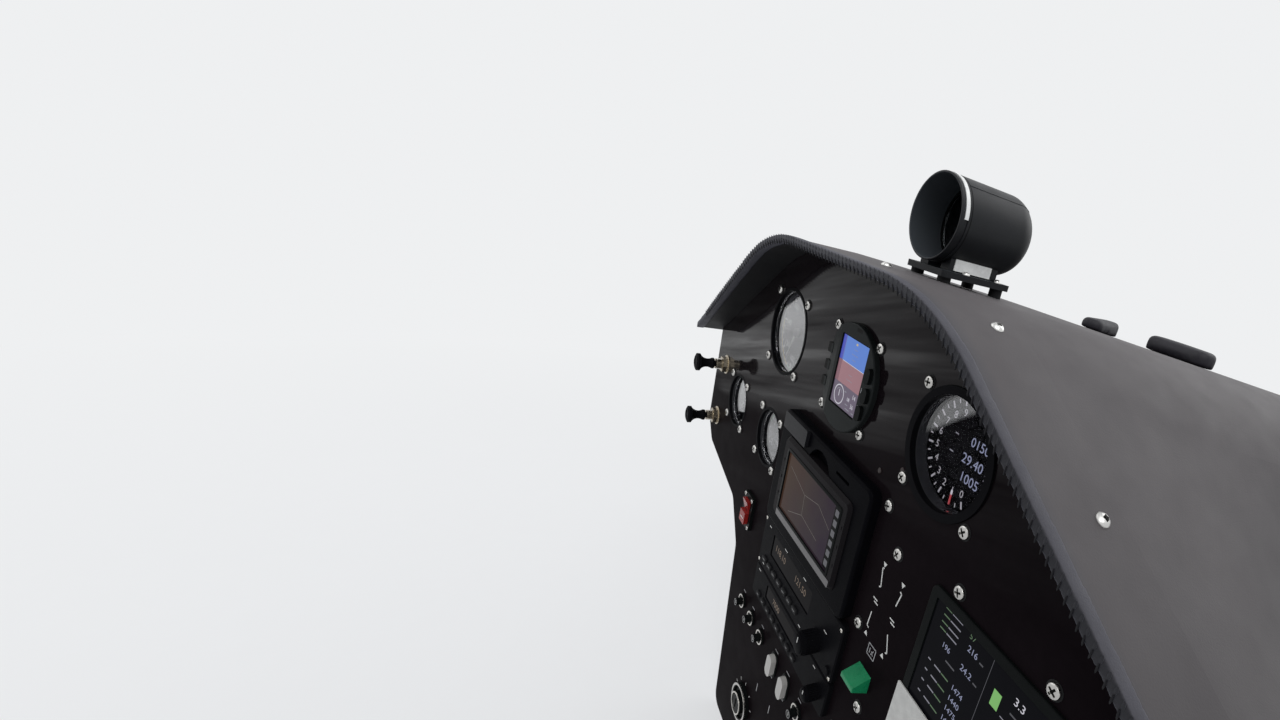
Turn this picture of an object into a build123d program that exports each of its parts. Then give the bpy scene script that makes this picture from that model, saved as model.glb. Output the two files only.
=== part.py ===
from build123d import *
from math import asin, cos, radians, sin, tan
import os

# Instrument panel of a small two-seat aircraft, with its coaming and compass.
# +X is the right-hand side, +Y is forward and +Z is up. The origin is the middle of the four bolts
# that hold the side brackets to the airframe, on the brackets' forward faces.
# Sketches on the panel use its face: first value to the right, second up from the upper row.

os.makedirs("parts", exist_ok=True)

# Clearances
GAP = 0.3  # round a piece that is slipped into a hole or under a cover

# Place of the panel's aft face, which the pilot sees, and of its upper row of instruments
STAND_OFF = 34.0  # airframe bolts' plane to the panel's forward face
PLATE_T = 3.0
ROW_UP = 105.0  # upper row of instruments above the airframe bolts
FACE_Y = -STAND_OFF - PLATE_T
FACE = Plane(origin=(0, FACE_Y, ROW_UP), x_dir=(1, 0, 0), z_dir=(0, -1, 0))
BACK = FACE.offset(-PLATE_T)

PLATE_HALF = 303.0  # half the panel's width

# Coaming: a moulded arch that flattens and widens towards the windscreen
COAMING_T = 4.0
LIP_REACH = 37.0  # aft of the face in the middle
LIP_SWEEP = 10.0  # the tips lie this much further forward
LIP_DEPTH = 8.0
LIP_EXTRA = 1.0  # lip stands out from the shell on both sides
STRAIGHT_RUN = 24.0
SECTIONS = [
    # forward of the face, top, half flat, shoulder radius, flank length, flare radius
    (STRAIGHT_RUN, 82.5, PLATE_HALF - 239.0, 168.5, 150.0, 200.0),
    (170.0, 74.0, PLATE_HALF - 199.0, 130.0, 80.0, 95.0),
    (400.0, 57.0, PLATE_HALF - 153.0, 95.0, 40.0, 70.0),
]
SECTION_DEGREES = {
    # forward of the face: slope of the flank, slope at the tip
    SECTIONS[0][0]: (33.5, 31.0),
    SECTIONS[1][0]: (46.0, 28.0),
    SECTIONS[2][0]: (58.0, 28.0),
}
FRONT_REACH = 388.0  # face to the middle of the coaming's front edge
FRONT_SWEEP = 133.0  # the front corners lie this much further aft
FLANGE_T = 2.0
FLANGE_DEPTH = 18.0
FLANGE_LEG = 7.0
COAMING_SCREWS_X = (-219.0, -122.0, 0.0, 122.0, 219.0)
COAMING_SCREW_Y = 8.0  # forward of the face

# Panel outline
PLATE_CORNERS = [
    # to the side, height
    (PLATE_HALF, -155.0),
    (281.0, -178.0),
    (182.0, -200.0),
    (150.0, -240.0),
    (128.0, -432.0),
]
CORNER_FILLET = 14.0
TIP_X = PLATE_HALF + 8.0  # tips of the coaming
FLANGE_TIP_X = PLATE_HALF - 3.0
SCREW_HOLE_R = 2.2
PANEL_SCREWS = [(85.0, -57.0), (107.0, -79.0), (87.0, -148.0), (111.0, -200.0), (90.0, -241.0)]

# Side brackets
BRACKET_T = 2.5
BRACKET_LEG = 20.0
BRACKET_X = PLATE_HALF - 3.0  # outer face of the web
BRACKET_H = 80.0
BOLT_X = BRACKET_X - 11.0
BOLT_UP = 30.0  # bolts above and below the origin
BOLT_HOLE_R = 2.6

# Round instruments: bezel ring in the hole, flange behind the panel and a can behind that
INSTRUMENT_FLANGE_T = 4.0
FLANGE_CORNER = 8.0
GLASS_T = 2.0
DIAL_T = 1.5
DIAL_DEPTH = 6.0  # under the glass
SIZES = {
    # hole radius, screw square, flange side, can radius, can depth
    "large": (39.0, 62.9, 76.0, 38.0, 64.0),
    "small": (28.8, 47.2, 57.0, 28.0, 52.0),
}
INSTRUMENTS = [
    # name, size, to the side, height, ring's wall and how far it stands out, glass below the face,
    # pointer length or 0 for a lit dial, pointer degrees from up, clockwise
    ("airspeed", "large", -122.0, 0.0, 2.4, 0.5, 3.2, 27.0, 205.0),
    ("altimeter", "large", 122.0, -2.0, 5.0, 1.5, 3.6, 0.0, 0.0),
    ("left_gauge", "small", 86.0 - PLATE_HALF, -103.0, 2.2, 0.3, 4.6, 18.0, 230.0),
    ("middle_gauge", "small", -121.5, -103.0, 2.2, 0.3, 4.6, 18.0, 130.0),
]

HUB_R = 4.0
HUB_H = 3.0
NEEDLE_T = 1.0
NEEDLE_W = 1.5

# Screens set into a face
SCREEN_INSET = 1.0
SCREEN_T = 1.5
SCREEN_CORNER = 1.0

# Round flight display in the middle of the upper row
DISPLAY_R = 40.0
DISPLAY_HOLE_R = 33.0
DISPLAY_SCREWS = 62.9
DISPLAY_PROUD = 4.5
DISPLAY_CHORD = 19.5  # flat face ends here on the left, then slopes to the flat side
DISPLAY_SIDE = 34.5  # flat side on the left
DISPLAY_SIDE_CORNER = 14.0
DISPLAY_LUGS = (12.5, -1.0, -14.0)  # heights of the lugs on the flat side
LUG = (3.6, 7.5, 2.0)
LUG_CORNER = 0.8
DISPLAY_SCREEN = (4.0, 3.0, 40.0, 53.0)
DISPLAY_FILLET = 1.2
DISPLAY_RIM = 0.8
DISPLAY_BUTTONS = [(33.0, 12.0), (34.5, -1.5), (32.0, -15.0)]
BUTTON_L = 11.0
BUTTON_W = 6.5
BUTTON_H = 3.0
DISPLAY_CAN_DEPTH = 34.0

# Navigation unit in its cradle, on the centreline below the display
CRADLE_W = 152.0
CRADLE_H = 104.0
CRADLE_UP = -105.0
RIM_OVERLAP = 3.0  # faces of panel units overlap their cut-outs
CRADLE_PROUD = 8.5
CRADLE_TRAY = 46.0  # depth behind the panel
UNIT_W = 118.0
UNIT_H = 72.0
UNIT_UP = -107.5
UNIT_PROUD = 11.5
UNIT_POCKET = 7.0
UNIT_CORNER = 6.0
UNIT_BEVEL = 2.5
UNIT_SCREEN = (0.5, UNIT_UP, 96.0, 53.0)
CRADLE_CORNER = 8.0
CRADLE_FILLET = 2.5
COVER = (-46.0, -60.8, 44.0, 14.0)
COVER_T = 3.0
COVER_CORNER = 1.5
NOTCH_R = 20.0
NOTCH_X = -0.5
NOTCH_UP = -80.0
NOTCH_DEPTH = 6.0
SLOT = (36.0, -63.0, 20.0, 2.4)
SLOT_DEPTH = 3.0

# Radio stack
STACK_W = 158.8
UNITS = [
    # name, height of its middle, face height, depth behind the panel, window to the side and width
    ("radio", -185.0, 51.0, 190.0, -14.0, 84.0),
    ("transponder", -227.5, 32.0, 150.0, -10.0, 78.0),
]
UNIT_FACE = 5.0
FACE_CORNER = 3.0
FACE_BEVEL = 1.0
WINDOW_SHARE = 0.42
WINDOW_UP = 0.125  # window's middle above the face's, as a share of its height
WINDOW_INSET = 1.0
WINDOW_CORNER = 1.5
RADIO_KNOBS = [
    # to the side, height, radius, length
    (STACK_W / 2 - 31.4, -196.0, 9.0, 15.0),
    (STACK_W / 2 - 13.4, -229.0, 6.0, 11.0),
]
RADIO_KNOB_TAPER = 3.0

# Engine display on the right wing of the panel
ENGINE = (PLATE_HALF - 104.0, -117.0)
ENGINE_W = 108.0
ENGINE_H = 92.0
ENGINE_PROUD = 2.0
ENGINE_RIM = 6.0
ENGINE_CORNER = 5.0
ENGINE_FILLET = 0.8
ENGINE_SCREEN = (*ENGINE, ENGINE_W - 2 * ENGINE_RIM, ENGINE_H - 2 * ENGINE_RIM)
ENGINE_CAN_DEPTH = 32.0
ENGINE_SCREW_SIDE = 35.0  # screws from the display's middle
ENGINE_SCREW_UP = ENGINE_H / 2 + 6.5
ENGINE_SCREWS = [
    (ENGINE[0] + side * ENGINE_SCREW_SIDE, ENGINE[1] + up * ENGINE_SCREW_UP) for side in (-1, 1) for up in (-1, 1)
]

# Small controls
KNOBS = [
    # name, to the side, height, reach aft
    ("upper_pull_knob", 33.0 - PLATE_HALF, -80.0, 34.0),
    ("lower_pull_knob", 28.0 - PLATE_HALF, -144.5, 34.0),
]
KNOB_SHAFT_R = 3.0
KNOB_TAIL = 24.0
KNOB_L = 19.0
KNOB_R = 9.5
KNOB_WAIST_R = 5.0
KNOB_COLLAR_R = 6.0
KNOB_EDGE = 2.0
KNOB_NUT_R = 9.0
KNOB_NUT_T = 6.0
KNOB_NECK_R = 5.5
KNOB_NECK_L = 7.0
GREEN_ROCKER = (107.3, -177.5, 16.0, 13.0)
GREEN_PROUD = 13.5
GREEN_TIP = 3.0  # thickness of the wedge's aft end
GREEN_FILLET = 0.8
RED_ROCKER = (-131.0, -188.0, 24.0, 36.0)
RED_PROUD = 7.0
RED_FRAME_PROUD = 3.0
RED_FRAME_CORNER = 3.0
RED_CAP = (13.0, 25.0)
RED_CORNER = 0.7
SWITCH_DEPTH = 22.0
ROW_HEIGHT = -278.0  # row of breakers and switches
BREAKERS_X = (-104.0, -77.0, -50.0, 40.0, 67.0)
BREAKER_R = 7.5
BREAKER_RING = 2.0
BREAKER_BUTTON = (3.6, 8.0)
WHITE_SWITCHES_X = (-14.0, 13.0)
WHITE_SWITCH = (10.0, 21.0)
WHITE_PROUD = 6.0
KEY_SWITCH = (-60.0, -368.0)
KEY_RING_R = 18.0
KEY_RING_W = 2.5
KEY_RING_PROUD = 4.0
KEY_RING_DEPTH = 2.0
KEY_BARREL_R = 11.0
KEY_BARREL_PROUD = 3.0
KEY_SLOT = (2.4, 11.0)
KEY_SLOT_DEPTH = 6.0
CARD = (ENGINE[0] - 31.5, -166.0, 50.0, 42.0)
CARD_T = 0.8
CARD_CORNER = 1.0

# Everything that passes through the panel behind a face, by the face's size
BOXED = [
    # to the side, height, width, height of the face
    (0.0, CRADLE_UP, CRADLE_W, CRADLE_H),
    *[(0.0, up, STACK_W, high) for _, up, high, *_ in UNITS],
    (*ENGINE, ENGINE_W, ENGINE_H),
    GREEN_ROCKER,
    RED_ROCKER,
    *[(x, ROW_HEIGHT, *WHITE_SWITCH) for x in WHITE_SWITCHES_X],
]
TURNED = [
    # to the side, height, radius of the face
    *[(x, ROW_HEIGHT, BREAKER_R) for x in BREAKERS_X],
    (*KEY_SWITCH, KEY_RING_R),
    *[(x, height, KNOB_NUT_R) for _, x, height, _ in KNOBS],
]

# Compass on the coaming's top
COMPASS_R = 30.0
COMPASS_WALL = 1.3
COMPASS_AXIS = 123.0
COMPASS_AFT = 36.5  # rim forward of the face
COMPASS_TUBE = 59.0  # straight length, before the round front end
COMPASS_SHOULDER_R = 20.0
COMPASS_SHOULDER_DEG = 75.0
LENS_RECESS = 30.0
LENS_T = 3.0
GROOVE_FROM_RIM = 2.6
GROOVE_W = 3.8
GROOVE_DEPTH = 0.6
STRIP_DEG = (3.0, 104.0)  # from the right-hand side, upwards
BASE_UP = 90.0  # top of the base plate
BASE_T = 4.5
BASE_W = 48.0
BASE_AFT = 39.0
BASE_L = 65.0
BASE_CORNER = 3.0
FOOT_R = 5.0
FOOT_INSET = 7.0
SADDLE_W = 36.0
SADDLE_INNER = 16.0
SADDLE_H = 12.0
SADDLE_AFT = 47.0
SADDLE_L = 45.5
LABEL = (34.5, 8.0)
LABEL_T = 0.8
LABEL_AFT = 51.0
LABEL_UP = 95.0

# Demister pads near the front edge
PADS = [
    # to the side, forward of the face, degrees of the long side from +X, top
    (-57.0, 336.0, 108.0, 76.0),
    (52.0, 318.0, -11.0, 78.5),
]
PAD_L = 73.0
PAD_W = 24.0
PAD_END_R = 10.0
PAD_FILLET = 6.0


def arch(x_tip, inset, section):
    """Draws the right half of a coaming section, moved inwards, and returns its end."""
    forward, top, flat, shoulder_r, flank, flare_r = section
    slope, tip_slope = SECTION_DEGREES[forward]
    crown = Line((0, top - inset), (flat, top - inset))
    shoulder = JernArc(crown @ 1, crown % 1, shoulder_r - inset, -slope)
    side = Line(shoulder @ 1, (shoulder @ 1) + (shoulder % 1) * flank)
    flare = JernArc(side @ 1, side % 1, flare_r + inset, slope - tip_slope)
    run = (x_tip - (flare @ 1).X) / (flare % 1).X
    tip = Line(flare @ 1, (flare @ 1) + (flare % 1) * run)
    return tip @ 1


def band(plane, x_tip, outer, inner, section):
    """Sketch of the closed band between two insets of a coaming section."""
    with BuildSketch(plane) as sketch:
        with BuildLine():
            Line(arch(x_tip, outer, section), arch(x_tip, inner, section))
            mirror(about=Plane.YZ)
        make_face()
    return sketch.sketch


def below(section):
    """Sketch of everything under a coaming section's outer line."""
    with BuildSketch(FACE.offset(-section[0])) as sketch:
        with BuildLine():
            tip = arch(TIP_X, 0, section)
            Polyline(tip, (tip.X, -ROW_UP), (0, -ROW_UP))
            mirror(about=Plane.YZ)
        make_face()
    return sketch.sketch


def plan(aft, aft_sweep, front, front_sweep):
    """Upright block over the coaming's plan, between two arcs given by their reach and sweep."""
    with BuildSketch(Plane.XY.offset(-ROW_UP)) as sketch:
        with BuildLine():
            for reach, sweep in ((-aft, aft_sweep), (front, -front_sweep)):
                corner_y = FACE_Y + reach + sweep
                ThreePointArc((-TIP_X, corner_y), (0, FACE_Y + reach), (TIP_X, corner_y))
            for side in (-TIP_X, TIP_X):
                Line((side, FACE_Y - aft + aft_sweep), (side, FACE_Y + front - front_sweep))
        make_face()
    extrude(sketch.sketch, amount=4 * ROW_UP, mode=Mode.INTERSECT)


def arch_plane(x, forward):
    """Plane on the coaming's straight run, its normal pointing out."""
    _, top, flat, shoulder_r, _, _ = SECTIONS[0]
    slope, _ = SECTION_DEGREES[SECTIONS[0][0]]
    reach = max(abs(x) - flat, 0)
    round_end = shoulder_r * sin(radians(slope))
    lean = asin(min(reach, round_end) / shoulder_r)
    height = top - shoulder_r * (1 - cos(lean)) - max(reach - round_end, 0) * tan(lean)
    if x < 0:
        lean = -lean
    return Plane(
        origin=(x, FACE_Y + forward, ROW_UP + height),
        x_dir=(cos(lean), 0, -sin(lean)),
        z_dir=(sin(lean), 0, cos(lean)),
    )


def aft_plane(x, height):
    """Plane of a turned profile on the panel: first value aft of the face, second the radius."""
    return Plane(origin=(x, FACE_Y, ROW_UP + height), x_dir=(0, -1, 0), z_dir=(0, 0, 1))


def screw_square(centre, spacing):
    """Four screw places round a centre on the panel."""
    half = spacing / 2
    return [(centre[0] + sx * half, centre[1] + sy * half) for sx in (-1, 1) for sy in (-1, 1)]


def box_behind(x, height, wide, high, depth):
    """Adds the box that passes through a cut-out, from the face to depth behind the panel."""
    with BuildSketch(FACE) as sketch:
        with Locations((x, height)):
            Rectangle(wide - 2 * (RIM_OVERLAP + GAP), high - 2 * (RIM_OVERLAP + GAP))
    extrude(sketch.sketch, amount=-(PLATE_T + depth))


def can_behind(x, height, radius, depth):
    """Adds the round body that passes through a hole, from the face to depth behind the panel."""
    with BuildSketch(FACE) as sketch:
        with Locations((x, height)):
            Circle(radius - RIM_OVERLAP - GAP)
    extrude(sketch.sketch, amount=-(PLATE_T + depth))


def face_box(x, height, wide, high, low, proud, corner):
    """Adds a round-cornered slab on the panel between two distances aft of the face."""
    with BuildSketch(FACE.offset(low)) as sketch:
        with Locations((x, height)):
            RectangleRounded(wide, high, corner)
    extrude(sketch.sketch, amount=proud - low)


def pocket(x, height, wide, high, proud, depth, corner):
    """Cuts a round-cornered pocket, depth deep, into a face that stands proud."""
    with BuildSketch(FACE.offset(proud)) as sketch:
        with Locations((x, height)):
            RectangleRounded(wide, high, corner)
    extrude(sketch.sketch, amount=-depth, mode=Mode.SUBTRACT)


def screen_pocket(screen, proud):
    """Cuts the pocket that takes a screen into a face that stands proud."""
    pocket(*screen, proud, SCREEN_INSET + SCREEN_T, SCREEN_CORNER)


def screen_plate(screen, proud):
    """Adds the plate of a screen, a clearance smaller than its pocket."""
    x, height, wide, high = screen
    low = proud - SCREEN_INSET - SCREEN_T
    face_box(x, height, wide - 2 * GAP, high - 2 * GAP, low, low + SCREEN_T, SCREEN_CORNER - GAP)


def save(builder, name):
    builder.part.label = name
    export_step(builder.part, f"parts/{name}.step")


# Coaming shell
with BuildPart() as coaming:
    aft_end = band(FACE.offset(LIP_REACH - LIP_DEPTH), TIP_X, 0, COAMING_T, SECTIONS[0])
    extrude(aft_end, amount=-(LIP_REACH - LIP_DEPTH + STRAIGHT_RUN))
    loft([band(FACE.offset(-section[0]), TIP_X, 0, COAMING_T, section) for section in SECTIONS])
    plan(LIP_REACH - LIP_DEPTH, LIP_SWEEP, FRONT_REACH, FRONT_SWEEP)
    for x in COAMING_SCREWS_X:
        with BuildSketch(arch_plane(x, COAMING_SCREW_Y)):
            Circle(SCREW_HOLE_R)
        extrude(amount=-2 * COAMING_T, mode=Mode.SUBTRACT)
save(coaming, "coaming")

# Padded lip along the aft edge
with BuildPart() as coaming_lip:
    lip_end = band(FACE.offset(LIP_REACH), TIP_X, -LIP_EXTRA, COAMING_T + LIP_EXTRA, SECTIONS[0])
    extrude(lip_end, amount=-(LIP_SWEEP + LIP_DEPTH))
    plan(LIP_REACH, LIP_SWEEP, LIP_DEPTH - LIP_REACH, -LIP_SWEEP)
save(coaming_lip, "coaming_lip")

# Angle strip that ties the panel to the coaming
with BuildPart() as coaming_flange:
    outer = COAMING_T + GAP
    extrude(band(BACK, FLANGE_TIP_X, outer, outer + FLANGE_LEG, SECTIONS[0]), amount=-FLANGE_T)
    extrude(band(BACK, FLANGE_TIP_X, outer, outer + FLANGE_T, SECTIONS[0]), amount=-FLANGE_DEPTH)
    for x in COAMING_SCREWS_X:
        with BuildSketch(arch_plane(x, COAMING_SCREW_Y)):
            Circle(SCREW_HOLE_R)
        extrude(amount=-4 * COAMING_T, mode=Mode.SUBTRACT)
save(coaming_flange, "coaming_flange")

# Panel plate
with BuildPart() as panel_plate:
    with BuildSketch(FACE) as outline:
        with BuildLine():
            side_top = arch(PLATE_HALF, COAMING_T + GAP, SECTIONS[0])
            Polyline(side_top, *PLATE_CORNERS, (0, PLATE_CORNERS[-1][1]))
            mirror(about=Plane.YZ)
        make_face()
        low = outline.vertices().filter_by(lambda vertex: vertex.Y < PLATE_CORNERS[0][1] + GAP)
        fillet(low, CORNER_FILLET)
    extrude(amount=-PLATE_T)
    with BuildSketch(FACE):
        for _, size, x, height, *_ in INSTRUMENTS:
            hole_r, spacing, *_ = SIZES[size]
            with Locations((x, height)):
                Circle(hole_r)
            with Locations(*screw_square((x, height), spacing)):
                Circle(SCREW_HOLE_R)
        Circle(DISPLAY_HOLE_R)
        with Locations(*screw_square((0, 0), DISPLAY_SCREWS)):
            Circle(SCREW_HOLE_R)
        with Locations(*PANEL_SCREWS, *ENGINE_SCREWS):
            Circle(SCREW_HOLE_R)
        for x, height, wide, high in BOXED:
            with Locations((x, height)):
                Rectangle(wide - 2 * RIM_OVERLAP, high - 2 * RIM_OVERLAP)
        for x, height, radius in TURNED:
            with Locations((x, height)):
                Circle(radius - RIM_OVERLAP)
    extrude(amount=-PLATE_T, mode=Mode.SUBTRACT)
save(panel_plate, "panel_plate")

# Side brackets
for side, name in ((-1, "left_bracket"), (1, "right_bracket")):
    with BuildPart() as bracket:
        with BuildSketch(Plane.XY.offset(-BRACKET_H / 2)):
            with Locations((side * (BRACKET_X - BRACKET_T / 2), -STAND_OFF / 2)):
                Rectangle(BRACKET_T, STAND_OFF)
            for leg_y in (-STAND_OFF + BRACKET_T / 2, -BRACKET_T / 2):
                with Locations((side * (BRACKET_X - BRACKET_LEG / 2), leg_y)):
                    Rectangle(BRACKET_LEG, BRACKET_T)
        extrude(amount=BRACKET_H)
        with BuildSketch(Plane.XZ):
            with Locations((side * BOLT_X, BOLT_UP), (side * BOLT_X, -BOLT_UP)):
                Circle(BOLT_HOLE_R)
        extrude(amount=BRACKET_T, mode=Mode.SUBTRACT)
    save(bracket, name)

# Round instruments
for name, size, x, height, wall, proud, recess, needle, clock in INSTRUMENTS:
    hole_r, screws, flange, can_r, can_depth = SIZES[size]
    ring_r = hole_r - GAP
    bore_r = ring_r - wall
    dial_top = recess + GLASS_T + DIAL_DEPTH
    with BuildPart() as case:
        with BuildSketch(BACK):
            with Locations((x, height)):
                RectangleRounded(flange, flange, FLANGE_CORNER)
            with Locations(*screw_square((x, height), screws)):
                Circle(SCREW_HOLE_R, mode=Mode.SUBTRACT)
        extrude(amount=-INSTRUMENT_FLANGE_T)
        with BuildSketch(BACK.offset(-INSTRUMENT_FLANGE_T)):
            with Locations((x, height)):
                Circle(can_r)
        extrude(amount=-can_depth)
        with BuildSketch(FACE.offset(proud)):
            with Locations((x, height)):
                Circle(ring_r)
        extrude(amount=-(proud + PLATE_T))
        with BuildSketch(FACE.offset(proud)):
            with Locations((x, height)):
                Circle(bore_r)
        extrude(amount=-(proud + dial_top + DIAL_T), mode=Mode.SUBTRACT)
    save(case, f"{name}_case")

    with BuildPart() as glass:
        with BuildSketch(FACE.offset(-recess)):
            with Locations((x, height)):
                Circle(bore_r - GAP)
        extrude(amount=-GLASS_T)
    save(glass, f"{name}_glass")

    with BuildPart() as dial:
        with BuildSketch(FACE.offset(-dial_top)):
            with Locations((x, height)):
                Circle(bore_r - GAP)
        extrude(amount=-DIAL_T)
        if needle:
            with BuildSketch(FACE.offset(-dial_top)):
                with Locations((x, height)):
                    Circle(HUB_R)
            extrude(amount=HUB_H)
            with BuildSketch(FACE.offset(HUB_H - NEEDLE_T - dial_top)):
                with Locations(Location((x, height, 0), (0, 0, -clock))):
                    Polygon((-NEEDLE_W, -HUB_R), (NEEDLE_W, -HUB_R), (0, needle), align=None)
            extrude(amount=NEEDLE_T)
    save(dial, f"{name}_dial")

# Round flight display
with BuildPart() as flight_display:
    with BuildSketch(FACE) as face:
        Circle(DISPLAY_R)
        with Locations((-DISPLAY_SIDE, 0)):
            Rectangle(DISPLAY_R, 2 * DISPLAY_R, align=(Align.MAX, Align.CENTER), mode=Mode.SUBTRACT)
        fillet(face.vertices(), DISPLAY_SIDE_CORNER)
    extrude(amount=DISPLAY_PROUD)
    fillet(flight_display.faces().sort_by(Axis.Y)[0].edges(), DISPLAY_FILLET)
    with BuildSketch(Plane.XY.offset(ROW_UP - 2 * DISPLAY_R)):
        with BuildLine():
            Polyline(
                (-DISPLAY_CHORD, FACE_Y - DISPLAY_PROUD),
                (-DISPLAY_R, FACE_Y - DISPLAY_PROUD),
                (-DISPLAY_R, FACE_Y - DISPLAY_RIM),
                (-DISPLAY_SIDE, FACE_Y - DISPLAY_RIM),
                close=True,
            )
        make_face()
    extrude(amount=4 * DISPLAY_R, mode=Mode.SUBTRACT)
    with BuildSketch(FACE):
        for up in DISPLAY_LUGS:
            with Locations((-DISPLAY_SIDE, up)):
                RectangleRounded(2 * LUG[0], LUG[1], LUG_CORNER)
    extrude(amount=LUG[2])
    with BuildSketch(FACE):
        Circle(DISPLAY_HOLE_R - GAP)
    extrude(amount=-(PLATE_T + DISPLAY_CAN_DEPTH))
    screen_pocket(DISPLAY_SCREEN, DISPLAY_PROUD)
save(flight_display, "flight_display")

with BuildPart() as flight_display_screen:
    screen_plate(DISPLAY_SCREEN, DISPLAY_PROUD)
save(flight_display_screen, "flight_display_screen")

with BuildPart() as flight_display_buttons:
    with BuildSketch(FACE.offset(DISPLAY_PROUD)):
        with Locations(*DISPLAY_BUTTONS):
            SlotOverall(BUTTON_L, BUTTON_W, rotation=90)
    extrude(amount=BUTTON_H)
save(flight_display_buttons, "flight_display_buttons")

# Navigation unit in its cradle
with BuildPart() as cradle:
    face_box(0, CRADLE_UP, CRADLE_W, CRADLE_H, 0, CRADLE_PROUD, CRADLE_CORNER)
    fillet(cradle.faces().sort_by(Axis.Y)[0].edges(), CRADLE_FILLET)
    box_behind(0, CRADLE_UP, CRADLE_W, CRADLE_H, CRADLE_TRAY)
    pocket(0, UNIT_UP, UNIT_W + 2 * GAP, UNIT_H + 2 * GAP, CRADLE_PROUD, UNIT_POCKET, UNIT_CORNER + GAP)
    with BuildSketch(FACE.offset(CRADLE_PROUD)):
        with Locations((NOTCH_X, NOTCH_UP)):
            Circle(NOTCH_R)
    extrude(amount=-NOTCH_DEPTH, mode=Mode.SUBTRACT)
    pocket(*SLOT, CRADLE_PROUD, SLOT_DEPTH, SLOT[3] / 3)
save(cradle, "cradle")

with BuildPart() as navigation_unit:
    face_box(0, UNIT_UP, UNIT_W, UNIT_H, CRADLE_PROUD - UNIT_POCKET, UNIT_PROUD, UNIT_CORNER)
    chamfer(navigation_unit.faces().sort_by(Axis.Y)[0].edges(), UNIT_BEVEL)
    screen_pocket(UNIT_SCREEN, UNIT_PROUD)
save(navigation_unit, "navigation_unit")

with BuildPart() as navigation_screen:
    screen_plate(UNIT_SCREEN, UNIT_PROUD)
save(navigation_screen, "navigation_screen")

with BuildPart() as card_cover:
    face_box(*COVER, CRADLE_PROUD, CRADLE_PROUD + COVER_T, COVER_CORNER)
save(card_cover, "card_cover")

# Radio stack
for name, up, high, depth, window_x, window_w in UNITS:
    with BuildPart() as unit:
        face_box(0, up, STACK_W, high, 0, UNIT_FACE, FACE_CORNER)
        chamfer(unit.faces().sort_by(Axis.Y)[0].edges(), FACE_BEVEL)
        box_behind(0, up, STACK_W, high, depth)
        window_up = up + high * WINDOW_UP
        pocket(window_x, window_up, window_w, high * WINDOW_SHARE, UNIT_FACE, WINDOW_INSET, WINDOW_CORNER)
    save(unit, name)

with BuildPart() as radio_knobs:
    for x, height, radius, length in RADIO_KNOBS:
        with BuildSketch(FACE.offset(UNIT_FACE)):
            with Locations((x, height)):
                Circle(radius)
        extrude(amount=length, taper=RADIO_KNOB_TAPER)
save(radio_knobs, "radio_knobs")

# Engine display
with BuildPart() as engine_display:
    face_box(*ENGINE, ENGINE_W, ENGINE_H, 0, ENGINE_PROUD, ENGINE_CORNER)
    fillet(engine_display.faces().sort_by(Axis.Y)[0].edges(), ENGINE_FILLET)
    box_behind(*ENGINE, ENGINE_W, ENGINE_H, ENGINE_CAN_DEPTH)
    screen_pocket(ENGINE_SCREEN, ENGINE_PROUD)
save(engine_display, "engine_display")

with BuildPart() as engine_screen:
    screen_plate(ENGINE_SCREEN, ENGINE_PROUD)
save(engine_screen, "engine_screen")

with BuildPart() as card:
    face_box(*CARD, ENGINE_PROUD, ENGINE_PROUD + CARD_T, CARD_CORNER)
save(card, "card")

# Rocker switches
with BuildPart() as green_rocker:
    x, height, wide, high = GREEN_ROCKER
    with BuildSketch(Plane.YZ.offset(x - wide / 2)):
        with BuildLine():
            Polyline(
                (FACE_Y, ROW_UP + height + high / 2),
                (FACE_Y - GREEN_PROUD, ROW_UP + height + GREEN_TIP / 2),
                (FACE_Y - GREEN_PROUD, ROW_UP + height - GREEN_TIP / 2),
                (FACE_Y, ROW_UP + height - high / 2),
                close=True,
            )
        make_face()
    extrude(amount=wide)
    fillet(green_rocker.faces().sort_by(Axis.Y)[0].edges(), GREEN_FILLET)
    box_behind(*GREEN_ROCKER, SWITCH_DEPTH)
save(green_rocker, "green_rocker")

with BuildPart() as red_rocker_frame:
    face_box(*RED_ROCKER, 0, RED_FRAME_PROUD, RED_FRAME_CORNER)
    box_behind(*RED_ROCKER, SWITCH_DEPTH)
    pocket(
        *RED_ROCKER[:2], RED_CAP[0] + 2 * GAP, RED_CAP[1] + 2 * GAP,
        RED_FRAME_PROUD, RED_FRAME_PROUD + PLATE_T, RED_CORNER + GAP,
    )
save(red_rocker_frame, "red_rocker_frame")

with BuildPart() as red_rocker:
    face_box(*RED_ROCKER[:2], *RED_CAP, -PLATE_T, RED_PROUD, RED_CORNER)
    with BuildSketch(Plane.YZ.offset(RED_ROCKER[0] - RED_CAP[0])):
        with BuildLine():
            Polyline(
                (FACE_Y - RED_PROUD, ROW_UP + RED_ROCKER[1] + RED_CAP[1] / 2),
                (FACE_Y - RED_FRAME_PROUD, ROW_UP + RED_ROCKER[1]),
                (FACE_Y - RED_PROUD, ROW_UP + RED_ROCKER[1]),
                close=True,
            )
        make_face()
    extrude(amount=2 * RED_CAP[0], mode=Mode.SUBTRACT)
save(red_rocker, "red_rocker")

with BuildPart() as white_switches:
    for x in WHITE_SWITCHES_X:
        face_box(x, ROW_HEIGHT, *WHITE_SWITCH, 0, WHITE_PROUD, WHITE_SWITCH[0] / 2 - GAP)
        box_behind(x, ROW_HEIGHT, *WHITE_SWITCH, SWITCH_DEPTH)
save(white_switches, "white_switches")

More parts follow.
